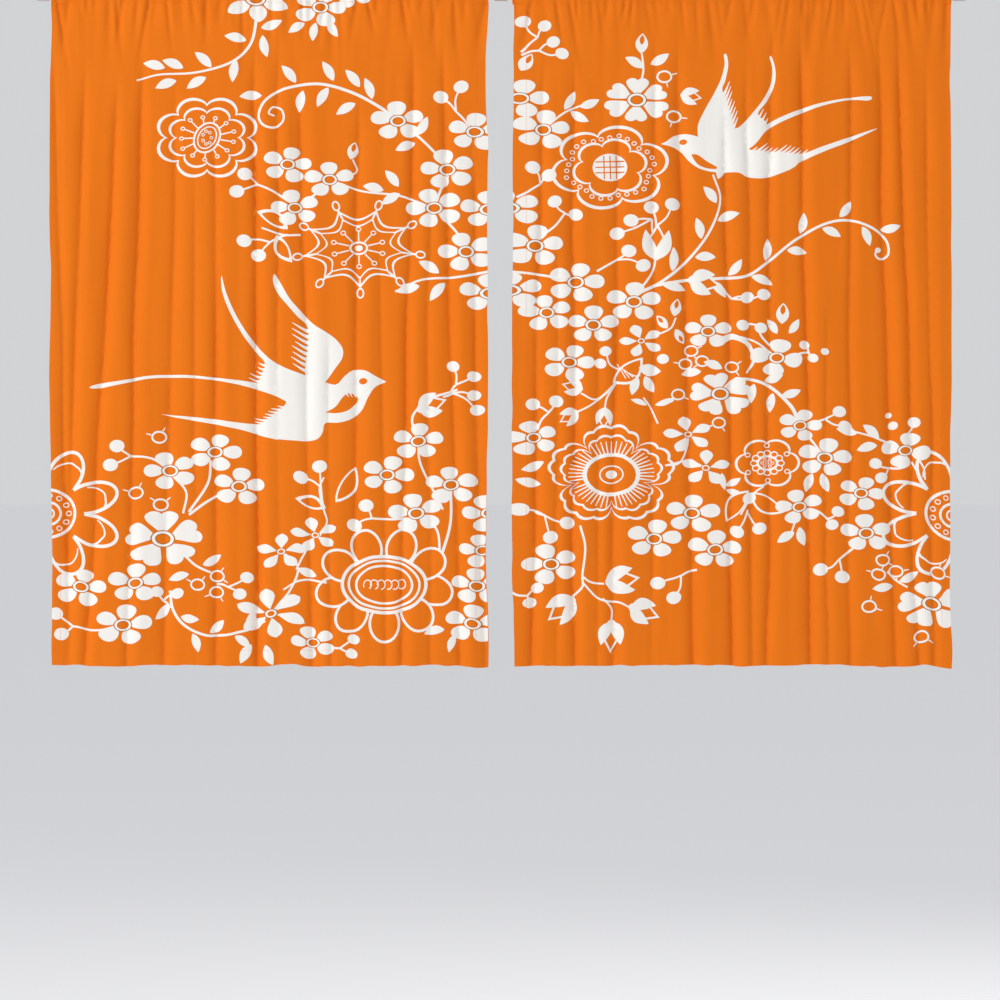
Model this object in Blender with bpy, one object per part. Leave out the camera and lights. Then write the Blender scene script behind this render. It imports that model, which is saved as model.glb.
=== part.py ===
"""A pair of rod-pocket cafe curtains on a telescopic rod that three wall brackets carry.

Metres, +Z up. X runs along the rod, the wall is the plane Y = 0 and the curtains hang in front
of it, at -Y. The origin is the centre of the middle wall plate's back face, level with the rod.
"""

import math

import bmesh
import bpy
from mathutils import Matrix, Vector

MM = 0.001

# Clearances
SEAT_GAP = 0.3 * MM  # between two pieces that touch
TUBE_GAP = 0.35 * MM  # all round, between a tube and the nylon piece that guides it
TUBE_RUNNING_GAP = 0.85 * MM  # all round, between the two tubes
SCREW_GAP = 0.3 * MM  # all round, between a screw and its hole
MERGE = 0.01 * MM  # points nearer than this are one point
CUT_PAST = 0.3 * MM  # how far a cutter runs past the face that it opens

# Rod
ROD_LENGTH = 1320 * MM  # over both tubes, as it is set up
ROD_STANDOFF = 80 * MM  # from the wall to the rod's axis
OUTER_TUBE_DIAMETER = 16 * MM
OUTER_TUBE_WALL = 0.8 * MM
OUTER_TUBE_LENGTH = 860 * MM
INNER_TUBE_WALL = 0.8 * MM
INNER_TUBE_LENGTH = 860 * MM
END_RING_LENGTH = 4 * MM
BUSH_FLANGE_LENGTH = 8 * MM
BUSH_PLUG_LENGTH = 15 * MM
END_PLUG_FLANGE = 1.5 * MM
END_PLUG_LENGTH = 14 * MM

# Finials
STUD_DIAMETER = 6 * MM
STUD_IN_PLUG = 10 * MM
STUD_IN_FINIAL = 12 * MM
FINIAL_BASE_DIAMETER = 20 * MM
FINIAL_BASE_LENGTH = 4 * MM
FINIAL_NECK_DIAMETER = 11 * MM
FINIAL_NECK_LENGTH = 6 * MM
FINIAL_BALL_DIAMETER = 34 * MM

# Brackets
BRACKET_INSET = 20 * MM  # from the rod's end to the outer brackets' middle
PLATE_WIDTH = 24 * MM
PLATE_HEIGHT = 52 * MM
PLATE_THICKNESS = 3 * MM
PLATE_CORNER_RADIUS = 6 * MM
PLATE_EDGE_ROUND = 0.8 * MM
SCREW_EDGE_DISTANCE = 8 * MM  # from the plate's top or bottom edge to the screw's middle
SOCKET_WALL = 2.7 * MM
SOCKET_LENGTH = 10 * MM
SOCKET_FLOOR = 2 * MM  # metal left behind the arm
ARM_DIAMETER = 10 * MM
SADDLE_WIDTH = 14 * MM
SADDLE_WALL = 3.5 * MM
SADDLE_HORN = 5 * MM  # height of the saddle's horns above the rod's axis
SADDLE_BOSS_DIAMETER = 10 * MM
SADDLE_BOSS_LENGTH = 5 * MM
SADDLE_EMBED = 2.2 * MM  # how deep the arm and the boss run into the saddle's wall

# Screws
GRUB_DIAMETER = 3 * MM
CLAMP_DIAMETER = 4 * MM
CLAMP_TIP_LENGTH = 1.5 * MM
CLAMP_HEAD_DIAMETER = 12 * MM
CLAMP_HEAD_LENGTH = 6 * MM
CLAMP_HEAD_LIFT = 1 * MM  # between the head and the boss when the rod is clamped
WALL_SCREW_DIAMETER = 4 * MM
WALL_SCREW_HEAD_DIAMETER = 7.6 * MM
WALL_SCREW_LENGTH = 30 * MM
WALL_SCREW_POINT = 5 * MM

# Curtains
PANEL_TO_SADDLE = 13 * MM
PANEL_SPLIT = 44 * MM  # between the two lead edges
CLOTH_THICKNESS = 0.6 * MM
HEM_THICKNESS = 1.6 * MM
SIDE_HEM_WIDTH = 15 * MM
BOTTOM_HEM_HEIGHT = 25 * MM
HEADER_HEIGHT = 25 * MM  # from the rod's top to the header's fold
POCKET_DROP = 36 * MM  # from the rod's axis to the pocket's lower seam
HANG_LENGTH = 915 * MM  # from the pocket's lower seam to the hem
FOLD_DEPTH = 6 * MM  # how far the folds swing either way
FOLD_START = 150 * MM  # length below the pocket over which the folds open
FOLDS = 5

# Mesh fineness
ROUND_STEPS = 32
SMALL_ROUND_STEPS = 16
POCKET_STEPS = 7
FOLD_STEPS = 6
CORNER_STEPS = 4

# Sizes that follow
OUTER_TUBE_RADIUS = OUTER_TUBE_DIAMETER / 2
OUTER_TUBE_BORE = OUTER_TUBE_RADIUS - OUTER_TUBE_WALL
INNER_TUBE_RADIUS = OUTER_TUBE_BORE - TUBE_RUNNING_GAP
INNER_TUBE_BORE = INNER_TUBE_RADIUS - INNER_TUBE_WALL
ROD_END = ROD_LENGTH / 2
BRACKET_X = ROD_END - BRACKET_INSET
WALL_SCREW_Z = PLATE_HEIGHT / 2 - SCREW_EDGE_DISTANCE
PANEL_OUTER_X = BRACKET_X - SADDLE_WIDTH / 2 - PANEL_TO_SADDLE
PANEL_LEAD_X = PANEL_SPLIT / 2
CURTAIN_BOTTOM = -POCKET_DROP - HANG_LENGTH

STEEL = ("satin_nickel", (0.62, 0.60, 0.57), 0.32, 1.0)
ZINC = ("zinc_screw", (0.70, 0.70, 0.70), 0.28, 1.0)
NYLON = ("pale_nylon", (0.82, 0.81, 0.78), 0.5, 0.0)
CLOTH = ("orange_cloth", (0.855, 0.198, 0.016), 0.85, 0.0)


def clear_scene():
    for obj in list(bpy.data.objects):
        bpy.data.objects.remove(obj, do_unlink=True)


def finish_material(finish):
    name, colour, roughness, metallic = finish
    material = bpy.data.materials.get(name)
    if material is None:
        material = bpy.data.materials.new(name)
        material.use_nodes = True
        shader = material.node_tree.nodes["Principled BSDF"]
        shader.inputs["Base Color"].default_value = (*colour, 1.0)
        shader.inputs["Roughness"].default_value = roughness
        shader.inputs["Metallic"].default_value = metallic
    return material


def add_piece(name, bm, finish, origin=(0.0, 0.0, 0.0)):
    """An object of its own from a mesh in world coordinates, with its origin where it turns or slides."""
    bmesh.ops.recalc_face_normals(bm, faces=bm.faces[:])
    bmesh.ops.translate(bm, verts=bm.verts[:], vec=-Vector(origin))
    mesh = bpy.data.meshes.new(name)
    bm.to_mesh(mesh)
    bm.free()
    mesh.shade_smooth()
    mesh.set_sharp_from_angle(angle=math.radians(35))
    mesh.materials.append(finish_material(finish))
    obj = bpy.data.objects.new(name, mesh)
    obj.location = origin
    bpy.context.scene.collection.objects.link(obj)
    return obj


def add_boolean(target, bm, operation):
    """Joins or cuts a hidden tool shape into an object."""
    name = f"{target.name}_{operation.lower()}_{len(target.modifiers)}"
    tool = add_piece(name, bm, STEEL)
    tool.hide_render = True
    tool.display_type = "WIRE"
    modifier = target.modifiers.new(name, "BOOLEAN")
    modifier.operation = operation
    modifier.solver = "MANIFOLD"
    modifier.object = tool


def turned(profile, start, axis, steps=ROUND_STEPS, hollow=False):
    """A solid of revolution. The profile's points are (distance along the axis, radius). It starts a
    quarter of a step round, so that the edges of crossing shapes don't meet corner to corner."""
    bm = bmesh.new()
    along = Vector(axis).normalized()
    across = Matrix.Rotation(math.tau / steps / 4, 3, along) @ along.orthogonal().normalized()
    points = [Vector(start) + along * distance + across * radius for distance, radius in profile]
    verts = [bm.verts.new(point) for point in points]
    edges = [bm.edges.new(pair) for pair in zip(verts, verts[1:])]
    if hollow:
        edges.append(bm.edges.new((verts[-1], verts[0])))
    bmesh.ops.spin(
        bm, geom=verts + edges, cent=start, axis=along, angle=math.tau, steps=steps, use_duplicate=False
    )
    bmesh.ops.remove_doubles(bm, verts=bm.verts[:], dist=MERGE)
    return bm


def rod_round(radius, length, chamfer=0.0):
    """The profile of a plain bar, with chamfered ends where a chamfer is given."""
    if chamfer:
        body = [(0.0, radius - chamfer), (chamfer, radius), (length - chamfer, radius), (length, radius - chamfer)]
    else:
        body = [(0.0, radius), (length, radius)]
    return [(0.0, 0.0), *body, (length, 0.0)]


def tube_round(outer, inner, length):
    return [(0.0, inner), (0.0, outer), (length, outer), (length, inner)]


def extruded(faces, points, direction):
    """Extrudes a flat patch of faces, given as lists of indices into its points."""
    bm = bmesh.new()
    verts = [bm.verts.new(point) for point in points]
    patch = [bm.faces.new([verts[i] for i in face]) for face in faces]
    grown = bmesh.ops.extrude_face_region(bm, geom=patch)
    moved = [item for item in grown["geom"] if isinstance(item, bmesh.types.BMVert)]
    bmesh.ops.translate(bm, verts=moved, vec=direction)
    return bm


def rounded_rectangle(width, height, radius):
    """Outline points (across, up), anticlockwise."""
    outline = []
    for corner in range(4):
        middle = math.radians(45 + 90 * corner)
        centre_x = math.copysign(width / 2 - radius, math.cos(middle))
        centre_z = math.copysign(height / 2 - radius, math.sin(middle))
        for step in range(CORNER_STEPS + 1):
            angle = math.radians(90 * corner + 90 * step / CORNER_STEPS)
            outline.append((centre_x + radius * math.cos(angle), centre_z + radius * math.sin(angle)))
    return outline


# Rod and finials


def add_rod():
    start = (-ROD_END, -ROD_STANDOFF, 0.0)
    mouth = -ROD_END + OUTER_TUBE_LENGTH
    tail = ROD_END - INNER_TUBE_LENGTH
    tube = turned(tube_round(OUTER_TUBE_RADIUS, OUTER_TUBE_BORE, OUTER_TUBE_LENGTH), start, (1, 0, 0), hollow=True)
    add_piece("outer_tube", tube, STEEL, start)
    start = (tail, -ROD_STANDOFF, 0.0)
    tube = turned(tube_round(INNER_TUBE_RADIUS, INNER_TUBE_BORE, INNER_TUBE_LENGTH), start, (1, 0, 0), hollow=True)
    add_piece("inner_tube", tube, STEEL, start)

    ring_profile = tube_round(OUTER_TUBE_RADIUS, INNER_TUBE_RADIUS + TUBE_GAP, END_RING_LENGTH)
    start = (mouth + SEAT_GAP, -ROD_STANDOFF, 0.0)
    add_piece("outer_tube_end_ring", turned(ring_profile, start, (1, 0, 0), hollow=True), NYLON, start)

    flange = OUTER_TUBE_BORE - TUBE_GAP
    plug = INNER_TUBE_BORE - SEAT_GAP
    seat = BUSH_FLANGE_LENGTH
    bush_profile = [
        (0.0, 0.0),
        (0.0, flange),
        (seat, flange),
        (seat, plug),
        (seat + BUSH_PLUG_LENGTH, plug),
        (seat + BUSH_PLUG_LENGTH, 0.0),
    ]
    start = (tail - SEAT_GAP - BUSH_FLANGE_LENGTH, -ROD_STANDOFF, 0.0)
    add_piece("inner_tube_guide_bush", turned(bush_profile, start, (1, 0, 0)), NYLON, start)


def ball_profile(start, neck_radius, radius, steps):
    """The ball's outline from where it meets the neck to its far pole."""
    meeting = math.asin(neck_radius / radius)
    centre = start + radius * math.cos(meeting)
    outline = []
    for step in range(steps + 1):
        angle = meeting + (math.pi - meeting) * step / steps
        outline.append((centre - radius * math.cos(angle), radius * math.sin(angle)))
    outline[-1] = (outline[-1][0], 0.0)
    return outline


def add_rod_end(side, outward, tube_radius, tube_bore):
    """End plug, stud and ball finial at one end of the rod. outward is -1 at the left and 1 at the right."""
    axis = (outward, 0, 0)
    stud = STUD_DIAMETER / 2
    bore = stud + SCREW_GAP
    plug_start = outward * (ROD_END + SEAT_GAP + END_PLUG_FLANGE - END_PLUG_LENGTH)
    shoulder = END_PLUG_LENGTH - END_PLUG_FLANGE
    plug_profile = [
        (0.0, 0.0),
        (0.0, tube_bore - SEAT_GAP),
        (shoulder, tube_bore - SEAT_GAP),
        (shoulder, tube_radius),
        (END_PLUG_LENGTH, tube_radius),
        (END_PLUG_LENGTH, bore),
        (END_PLUG_LENGTH - STUD_IN_PLUG - SEAT_GAP, bore),
        (END_PLUG_LENGTH - STUD_IN_PLUG - SEAT_GAP, 0.0),
    ]
    start = (plug_start, -ROD_STANDOFF, 0.0)
    add_piece(f"{side}_end_plug", turned(plug_profile, start, axis, SMALL_ROUND_STEPS), NYLON, start)

    face = ROD_END + SEAT_GAP + END_PLUG_FLANGE + SEAT_GAP
    start = (outward * face, -ROD_STANDOFF, 0.0)
    base = FINIAL_BASE_DIAMETER / 2
    neck = FINIAL_NECK_DIAMETER / 2
    base_edge = FINIAL_BASE_LENGTH / 4
    finial_profile = [
        (STUD_IN_FINIAL + SEAT_GAP, 0.0),
        (STUD_IN_FINIAL + SEAT_GAP, bore),
        (0.0, bore),
        (0.0, base - base_edge),
        (base_edge, base),
        (FINIAL_BASE_LENGTH - base_edge, base),
        (FINIAL_BASE_LENGTH, base - base_edge),
        (FINIAL_BASE_LENGTH + base_edge, neck),
        *ball_profile(FINIAL_BASE_LENGTH + FINIAL_NECK_LENGTH, neck, FINIAL_BALL_DIAMETER / 2, 12),
    ]
    add_piece(f"{side}_finial", turned(finial_profile, start, axis, 24), STEEL, start)

    stud_profile = rod_round(stud, STUD_IN_PLUG + SEAT_GAP + STUD_IN_FINIAL, stud / 6)
    stud_start = (outward * (face - SEAT_GAP - STUD_IN_PLUG), -ROD_STANDOFF, 0.0)
    add_piece(f"{side}_finial_stud", turned(stud_profile, stud_start, axis, SMALL_ROUND_STEPS), ZINC, start)


# Brackets


def add_wall_plate(side, x):
    """Plate with a socket for the arm, two countersunk screw holes and a grub screw hole."""
    outline = rounded_rectangle(PLATE_WIDTH, PLATE_HEIGHT, PLATE_CORNER_RADIUS)
    points = [(x + across, 0.0, up) for across, up in outline]
    body = extruded([list(range(len(points)))], points, (0.0, -PLATE_THICKNESS, 0.0))
    plate = add_piece(f"{side}_wall_plate", body, STEEL)
    edge_round = plate.modifiers.new("edge_round", "BEVEL")
    edge_round.width = PLATE_EDGE_ROUND
    edge_round.segments = 2
    edge_round.limit_method = "ANGLE"
    edge_round.angle_limit = math.radians(60)

    socket_bore = ARM_DIAMETER / 2 + SEAT_GAP
    socket_outer = socket_bore + SOCKET_WALL
    socket_profile = rod_round(socket_outer, PLATE_THICKNESS / 2 + SOCKET_LENGTH)
    add_boolean(plate, turned(socket_profile, (x, -PLATE_THICKNESS / 2, 0.0), (0, -1, 0)), "UNION")
    bore_profile = rod_round(socket_bore, PLATE_THICKNESS + SOCKET_LENGTH)
    add_boolean(plate, turned(bore_profile, (x, -SOCKET_FLOOR, 0.0), (0, -1, 0)), "DIFFERENCE")

    grub_profile = rod_round(GRUB_DIAMETER / 2 + SCREW_GAP, socket_outer + CUT_PAST)
    grub_start = (x, -PLATE_THICKNESS - SOCKET_LENGTH / 2, 0.0)
    add_boolean(plate, turned(grub_profile, grub_start, (0, 0, -1), SMALL_ROUND_STEPS), "DIFFERENCE")

    hole = WALL_SCREW_DIAMETER / 2 + SCREW_GAP
    sink = WALL_SCREW_HEAD_DIAMETER / 2 + SCREW_GAP
    front = PLATE_THICKNESS + CUT_PAST
    hole_profile = [
        (-CUT_PAST, 0.0),
        (-CUT_PAST, hole),
        (PLATE_THICKNESS - (sink - hole), hole),
        (front, sink + CUT_PAST),
        (front, 0.0),
    ]
    for up in (-WALL_SCREW_Z, WALL_SCREW_Z):
        add_boolean(plate, turned(hole_profile, (x, 0.0, up), (0, -1, 0), SMALL_ROUND_STEPS), "DIFFERENCE")


def add_wall_screws(side, x):
    """Countersunk wood screws through the plate, as deep in the wall as their length lets them."""
    shank = WALL_SCREW_DIAMETER / 2
    head = WALL_SCREW_HEAD_DIAMETER / 2
    cone = head - shank
    profile = [
        (0.0, 0.0),
        (0.0, head),
        (cone, shank),
        (WALL_SCREW_LENGTH - WALL_SCREW_POINT, shank),
        (WALL_SCREW_LENGTH, 0.0),
    ]
    for place, up in (("lower", -WALL_SCREW_Z), ("upper", WALL_SCREW_Z)):
        start = (x, -PLATE_THICKNESS, up)
        screw = turned(profile, start, (0, 1, 0), SMALL_ROUND_STEPS)
        add_piece(f"{side}_{place}_wall_screw", screw, ZINC, start)


def add_arm(side, x, tube_radius):
    """Round arm that ends in an open saddle under the rod, with a boss for the clamp screw."""
    channel = tube_radius + SEAT_GAP
    outer = channel + SADDLE_WALL
    arc = [math.pi + math.tau * step / ROUND_STEPS for step in range(ROUND_STEPS // 2 + 1)]
    rows = []
    for radius in (outer, channel):
        lower = [(radius * math.cos(angle), radius * math.sin(angle)) for angle in arc]
        rows.append([(-radius, SADDLE_HORN), *lower, (radius, SADDLE_HORN)])
    count = len(rows[0])
    left = x - SADDLE_WIDTH / 2
    points = [(left, -ROD_STANDOFF + y, z) for row in rows for y, z in row]
    faces = [(i, i + 1, count + i + 1, count + i) for i in range(count - 1)]
    arm = add_piece(f"{side}_bracket_arm", extruded(faces, points, (SADDLE_WIDTH, 0.0, 0.0)), STEEL)

    root = SOCKET_FLOOR + SEAT_GAP
    bar_profile = rod_round(ARM_DIAMETER / 2, ROD_STANDOFF - outer + SADDLE_EMBED - root)
    add_boolean(arm, turned(bar_profile, (x, -root, 0.0), (0, -1, 0)), "UNION")
    boss_profile = rod_round(SADDLE_BOSS_DIAMETER / 2, SADDLE_EMBED + SADDLE_BOSS_LENGTH)
    boss_top = (x, -ROD_STANDOFF, -outer + SADDLE_EMBED)
    add_boolean(arm, turned(boss_profile, boss_top, (0, 0, -1), 24), "UNION")
    hole_profile = rod_round(CLAMP_DIAMETER / 2 + SCREW_GAP, outer + SADDLE_BOSS_LENGTH + CUT_PAST)
    hole_top = (x, -ROD_STANDOFF, 0.0)
    add_boolean(arm, turned(hole_profile, hole_top, (0, 0, -1), SMALL_ROUND_STEPS), "DIFFERENCE")


def add_bracket_screws(side, x, tube_radius):
    """The grub screw that holds the arm, and the clamp screw and its tip, which hold the rod."""
    socket_outer = ARM_DIAMETER / 2 + SEAT_GAP + SOCKET_WALL
    grub_start = (x, -PLATE_THICKNESS - SOCKET_LENGTH / 2, -ARM_DIAMETER / 2 - SEAT_GAP)
    grub_profile = rod_round(GRUB_DIAMETER / 2, socket_outer - ARM_DIAMETER / 2, GRUB_DIAMETER / 12)
    grub = turned(grub_profile, grub_start, (0, 0, -1), SMALL_ROUND_STEPS)
    add_piece(f"{side}_arm_grub_screw", grub, ZINC, grub_start)

    tip_top = (x, -ROD_STANDOFF, -tube_radius - SEAT_GAP)
    tip = turned(rod_round(CLAMP_DIAMETER / 2, CLAMP_TIP_LENGTH), tip_top, (0, 0, -1), SMALL_ROUND_STEPS)
    add_piece(f"{side}_clamp_tip", tip, NYLON, tip_top)

    shank = CLAMP_DIAMETER / 2
    head = CLAMP_HEAD_DIAMETER / 2
    top = tip_top[2] - CLAMP_TIP_LENGTH - SEAT_GAP
    boss_end = -tube_radius - SEAT_GAP - SADDLE_WALL - SADDLE_BOSS_LENGTH
    shoulder = top - boss_end + CLAMP_HEAD_LIFT
    edge = CLAMP_HEAD_LENGTH / 8
    profile = [
        (0.0, 0.0),
        (0.0, shank),
        (shoulder, shank),
        (shoulder, head - edge),
        (shoulder + edge, head),
        (shoulder + CLAMP_HEAD_LENGTH - edge, head),
        (shoulder + CLAMP_HEAD_LENGTH, head - edge),
        (shoulder + CLAMP_HEAD_LENGTH, 0.0),
    ]
    start = (x, -ROD_STANDOFF, top)
    add_piece(f"{side}_clamp_screw", turned(profile, start, (0, 0, -1), 24), ZINC, start)


# Curtains


def pocket_path(thickness):
    """Centre line (y, z) of the cloth above the pocket's lower seam: up in front of the rod, over the
    header's fold and down behind the rod to the seam again. y is measured from the rod's axis."""
    radius = OUTER_TUBE_RADIUS + SEAT_GAP + thickness / 2
    layer = (thickness + SEAT_GAP) / 2
    leave = math.acos(radius / POCKET_DROP)
    meet = math.pi - math.asin(layer / radius)
    angles = [leave + (meet - leave) * step / POCKET_STEPS for step in range(POCKET_STEPS + 1)]
    header_top = OUTER_TUBE_RADIUS + HEADER_HEIGHT
    front = [(-radius * math.sin(angle), -radius * math.cos(angle)) for angle in angles]
    back = [(-y, z) for y, z in reversed(front)]
    fold = [(-layer, header_top - layer), (0.0, header_top), (layer, header_top - layer)]
    return [(0.0, -POCKET_DROP), *front, *fold, *back, (2 * layer, -POCKET_DROP)]


def fold_rows(low, high):
    """Heights from low up to just under high: closer together where the folds open."""
    opening = [high - FOLD_START * share for share in (0.2, 0.45, 0.7, 1.0)]
    lower = [low + (opening[-1] - low) * share for share in (2 / 3, 1 / 3, 0.0)]
    return [z for z in reversed([*opening, *lower]) if low <= z < high]


def fold_shift(x, z, inner, outer):
    """How far the folds push the cloth out at one place. The hems stand on a crest, so they lie flat."""
    share = min(1.0, max(0.0, (abs(x) - inner) / (outer - inner)))
    depth = min(1.0, max(0.0, (-POCKET_DROP - z) / FOLD_START))
    return -FOLD_DEPTH * depth * depth * (3 - 2 * depth) * math.cos(math.tau * FOLDS * share)


def add_cloth(name, side, path, inner, outer, steps, thickness, origin):
    """A band of cloth along the path, from inner to outer on one side of the middle, thickened both ways."""
    fold_inner = PANEL_LEAD_X + SIDE_HEM_WIDTH
    fold_outer = PANEL_OUTER_X - SIDE_HEM_WIDTH
    bm = bmesh.new()
    columns = []
    for step in range(steps + 1):
        x = side * (inner + (outer - inner) * step / steps)
        column = []
        for y, z in path:
            shift = fold_shift(x, z, fold_inner, fold_outer)
            column.append(bm.verts.new((x, -ROD_STANDOFF + y + shift, z)))
        columns.append(column)
    for near, far in zip(columns, columns[1:]):
        for i in range(len(path) - 1):
            bm.faces.new((near[i], near[i + 1], far[i + 1], far[i]))
    cloth = add_piece(name, bm, CLOTH, origin)
    solidify = cloth.modifiers.new("thickness", "SOLIDIFY")
    solidify.thickness = thickness
    solidify.offset = 0.0
    solidify.use_even_offset = True


def add_panel(name, side):
    """One curtain: its sheet with header and pocket, two side hems and a bottom hem. side is -1 or 1."""
    lead_seam = PANEL_LEAD_X + SIDE_HEM_WIDTH
    outer_seam = PANEL_OUTER_X - SIDE_HEM_WIDTH
    hem_top = CURTAIN_BOTTOM + BOTTOM_HEM_HEIGHT
    hem_path = [(0.0, z) for z in fold_rows(CURTAIN_BOTTOM, -POCKET_DROP)] + pocket_path(HEM_THICKNESS)
    sheet_path = [(0.0, z) for z in fold_rows(hem_top + SEAT_GAP, -POCKET_DROP)] + pocket_path(CLOTH_THICKNESS)
    bottom_path = [(0.0, CURTAIN_BOTTOM), (0.0, hem_top)]
    steps = FOLDS * FOLD_STEPS
    near = lead_seam + SEAT_GAP
    far = outer_seam - SEAT_GAP
    fixed = (side * PANEL_OUTER_X, -ROD_STANDOFF, 0.0)
    lead = (side * PANEL_LEAD_X, -ROD_STANDOFF, 0.0)
    add_cloth(f"{name}_curtain_cloth", side, sheet_path, near, far, steps, CLOTH_THICKNESS, fixed)
    add_cloth(f"{name}_bottom_hem", side, bottom_path, near, far, steps, HEM_THICKNESS, fixed)
    add_cloth(f"{name}_outer_hem", side, hem_path, outer_seam, PANEL_OUTER_X, 1, HEM_THICKNESS, fixed)
    add_cloth(f"{name}_lead_hem", side, hem_path, PANEL_LEAD_X, lead_seam, 1, HEM_THICKNESS, lead)


def build():
    clear_scene()
    add_rod()
    add_rod_end("left", -1, OUTER_TUBE_RADIUS, OUTER_TUBE_BORE)
    add_rod_end("right", 1, INNER_TUBE_RADIUS, INNER_TUBE_BORE)
    brackets = (
        ("left", -BRACKET_X, OUTER_TUBE_RADIUS),
        ("centre", 0.0, OUTER_TUBE_RADIUS),
        ("right", BRACKET_X, INNER_TUBE_RADIUS),
    )
    for side, x, tube_radius in brackets:
        add_wall_plate(side, x)
        add_wall_screws(side, x)
        add_arm(side, x, tube_radius)
        add_bracket_screws(side, x, tube_radius)
    add_panel("left", -1)
    add_panel("right", 1)


build()
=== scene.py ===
"""Looks for a pair of rod-pocket cafe curtains on a telescopic rod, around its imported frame.

Metres, +Z up, the rod along X and the wall at Y = 0. The cloth is laid out in hung coordinates:
x from the middle of the pair and d down from the pocket's lower seam, both in millimetres, as they
are seen from straight in front. d runs on upwards, negative, over the rod, the header and the back.
"""

import math  # noqa: E402

import bpy  # noqa: E402
import numpy as np  # noqa: E402
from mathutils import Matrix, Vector  # noqa: E402
from mathutils.geometry import delaunay_2d_cdt  # noqa: E402


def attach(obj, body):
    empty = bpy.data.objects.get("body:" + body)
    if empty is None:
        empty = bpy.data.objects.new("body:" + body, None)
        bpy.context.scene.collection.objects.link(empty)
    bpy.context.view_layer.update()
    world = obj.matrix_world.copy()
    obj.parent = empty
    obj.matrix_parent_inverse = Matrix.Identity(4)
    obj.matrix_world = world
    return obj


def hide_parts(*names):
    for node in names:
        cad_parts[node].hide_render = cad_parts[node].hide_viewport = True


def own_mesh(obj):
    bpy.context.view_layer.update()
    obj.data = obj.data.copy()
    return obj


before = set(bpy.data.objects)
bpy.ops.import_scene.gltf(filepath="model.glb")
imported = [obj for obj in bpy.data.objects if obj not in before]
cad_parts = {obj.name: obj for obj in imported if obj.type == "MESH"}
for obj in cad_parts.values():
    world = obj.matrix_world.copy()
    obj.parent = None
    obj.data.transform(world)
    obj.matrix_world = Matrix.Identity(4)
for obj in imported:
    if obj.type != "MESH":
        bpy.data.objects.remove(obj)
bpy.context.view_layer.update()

MM = 0.001
ROD_Y = -0.080
SEAM_Z = -0.036
LEAD = 37.0  # x of the lead edge's hem seam
OUTER = 605.0  # x of the outer edge's hem seam
HEM_WIDTH = 15.0
DROP = 915.0
HEM_DEPTH = 25.0
CLOTH = 0.45
HEM_CLOTH = 1.4
POCKET_RADIUS = 9.8
HEADER_TOP = 33.0
HEADER_SEAM = 14.5
TAIL = 4.0
FULLNESS = 1.156  # flat width over hung width
WARP_PITCH = 0.62
WEFT_PITCH = 0.55
SAMPLE = 1.5  # between the points that a row of stitches is laid along
BRACKET_X = 640.0
FINIAL_X = 662.1  # the finials' base faces
CLAMP_FOOT = -23.8
RIGHT_CLAMP_FOOT = -22.15
BALL = 17.0
BALL_AT = 26.1  # from the finial's base face
NECK = 5.5

GROUND, WHITE, BROWN = 0, 1, 2
STEM = 2.8  # width of a sprig's stems


# Noise that gives the same values on each run


def hashed(i, j, seed):
    n = np.sin(i * 127.1 + j * 311.7 + seed * 74.7) * 43758.5453
    return n - np.floor(n)


def noise(x, y=0.0, seed=0):
    """Smooth noise from -1 to 1 on a unit lattice."""
    x, y = np.broadcast_arrays(np.asarray(x, float), np.asarray(y, float))
    i, j = np.floor(x), np.floor(y)
    u, v = x - i, y - j
    u, v = (t * t * t * (t * (6 * t - 15) + 10) for t in (u, v))
    low = hashed(i, j, seed) * (1 - u) + hashed(i + 1, j, seed) * u
    high = hashed(i, j + 1, seed) * (1 - u) + hashed(i + 1, j + 1, seed) * u
    return 2 * (low * (1 - v) + high * v) - 1


def ease(t):
    t = np.clip(t, 0, 1)
    return t * t * (3 - 2 * t)


# The print


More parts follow.
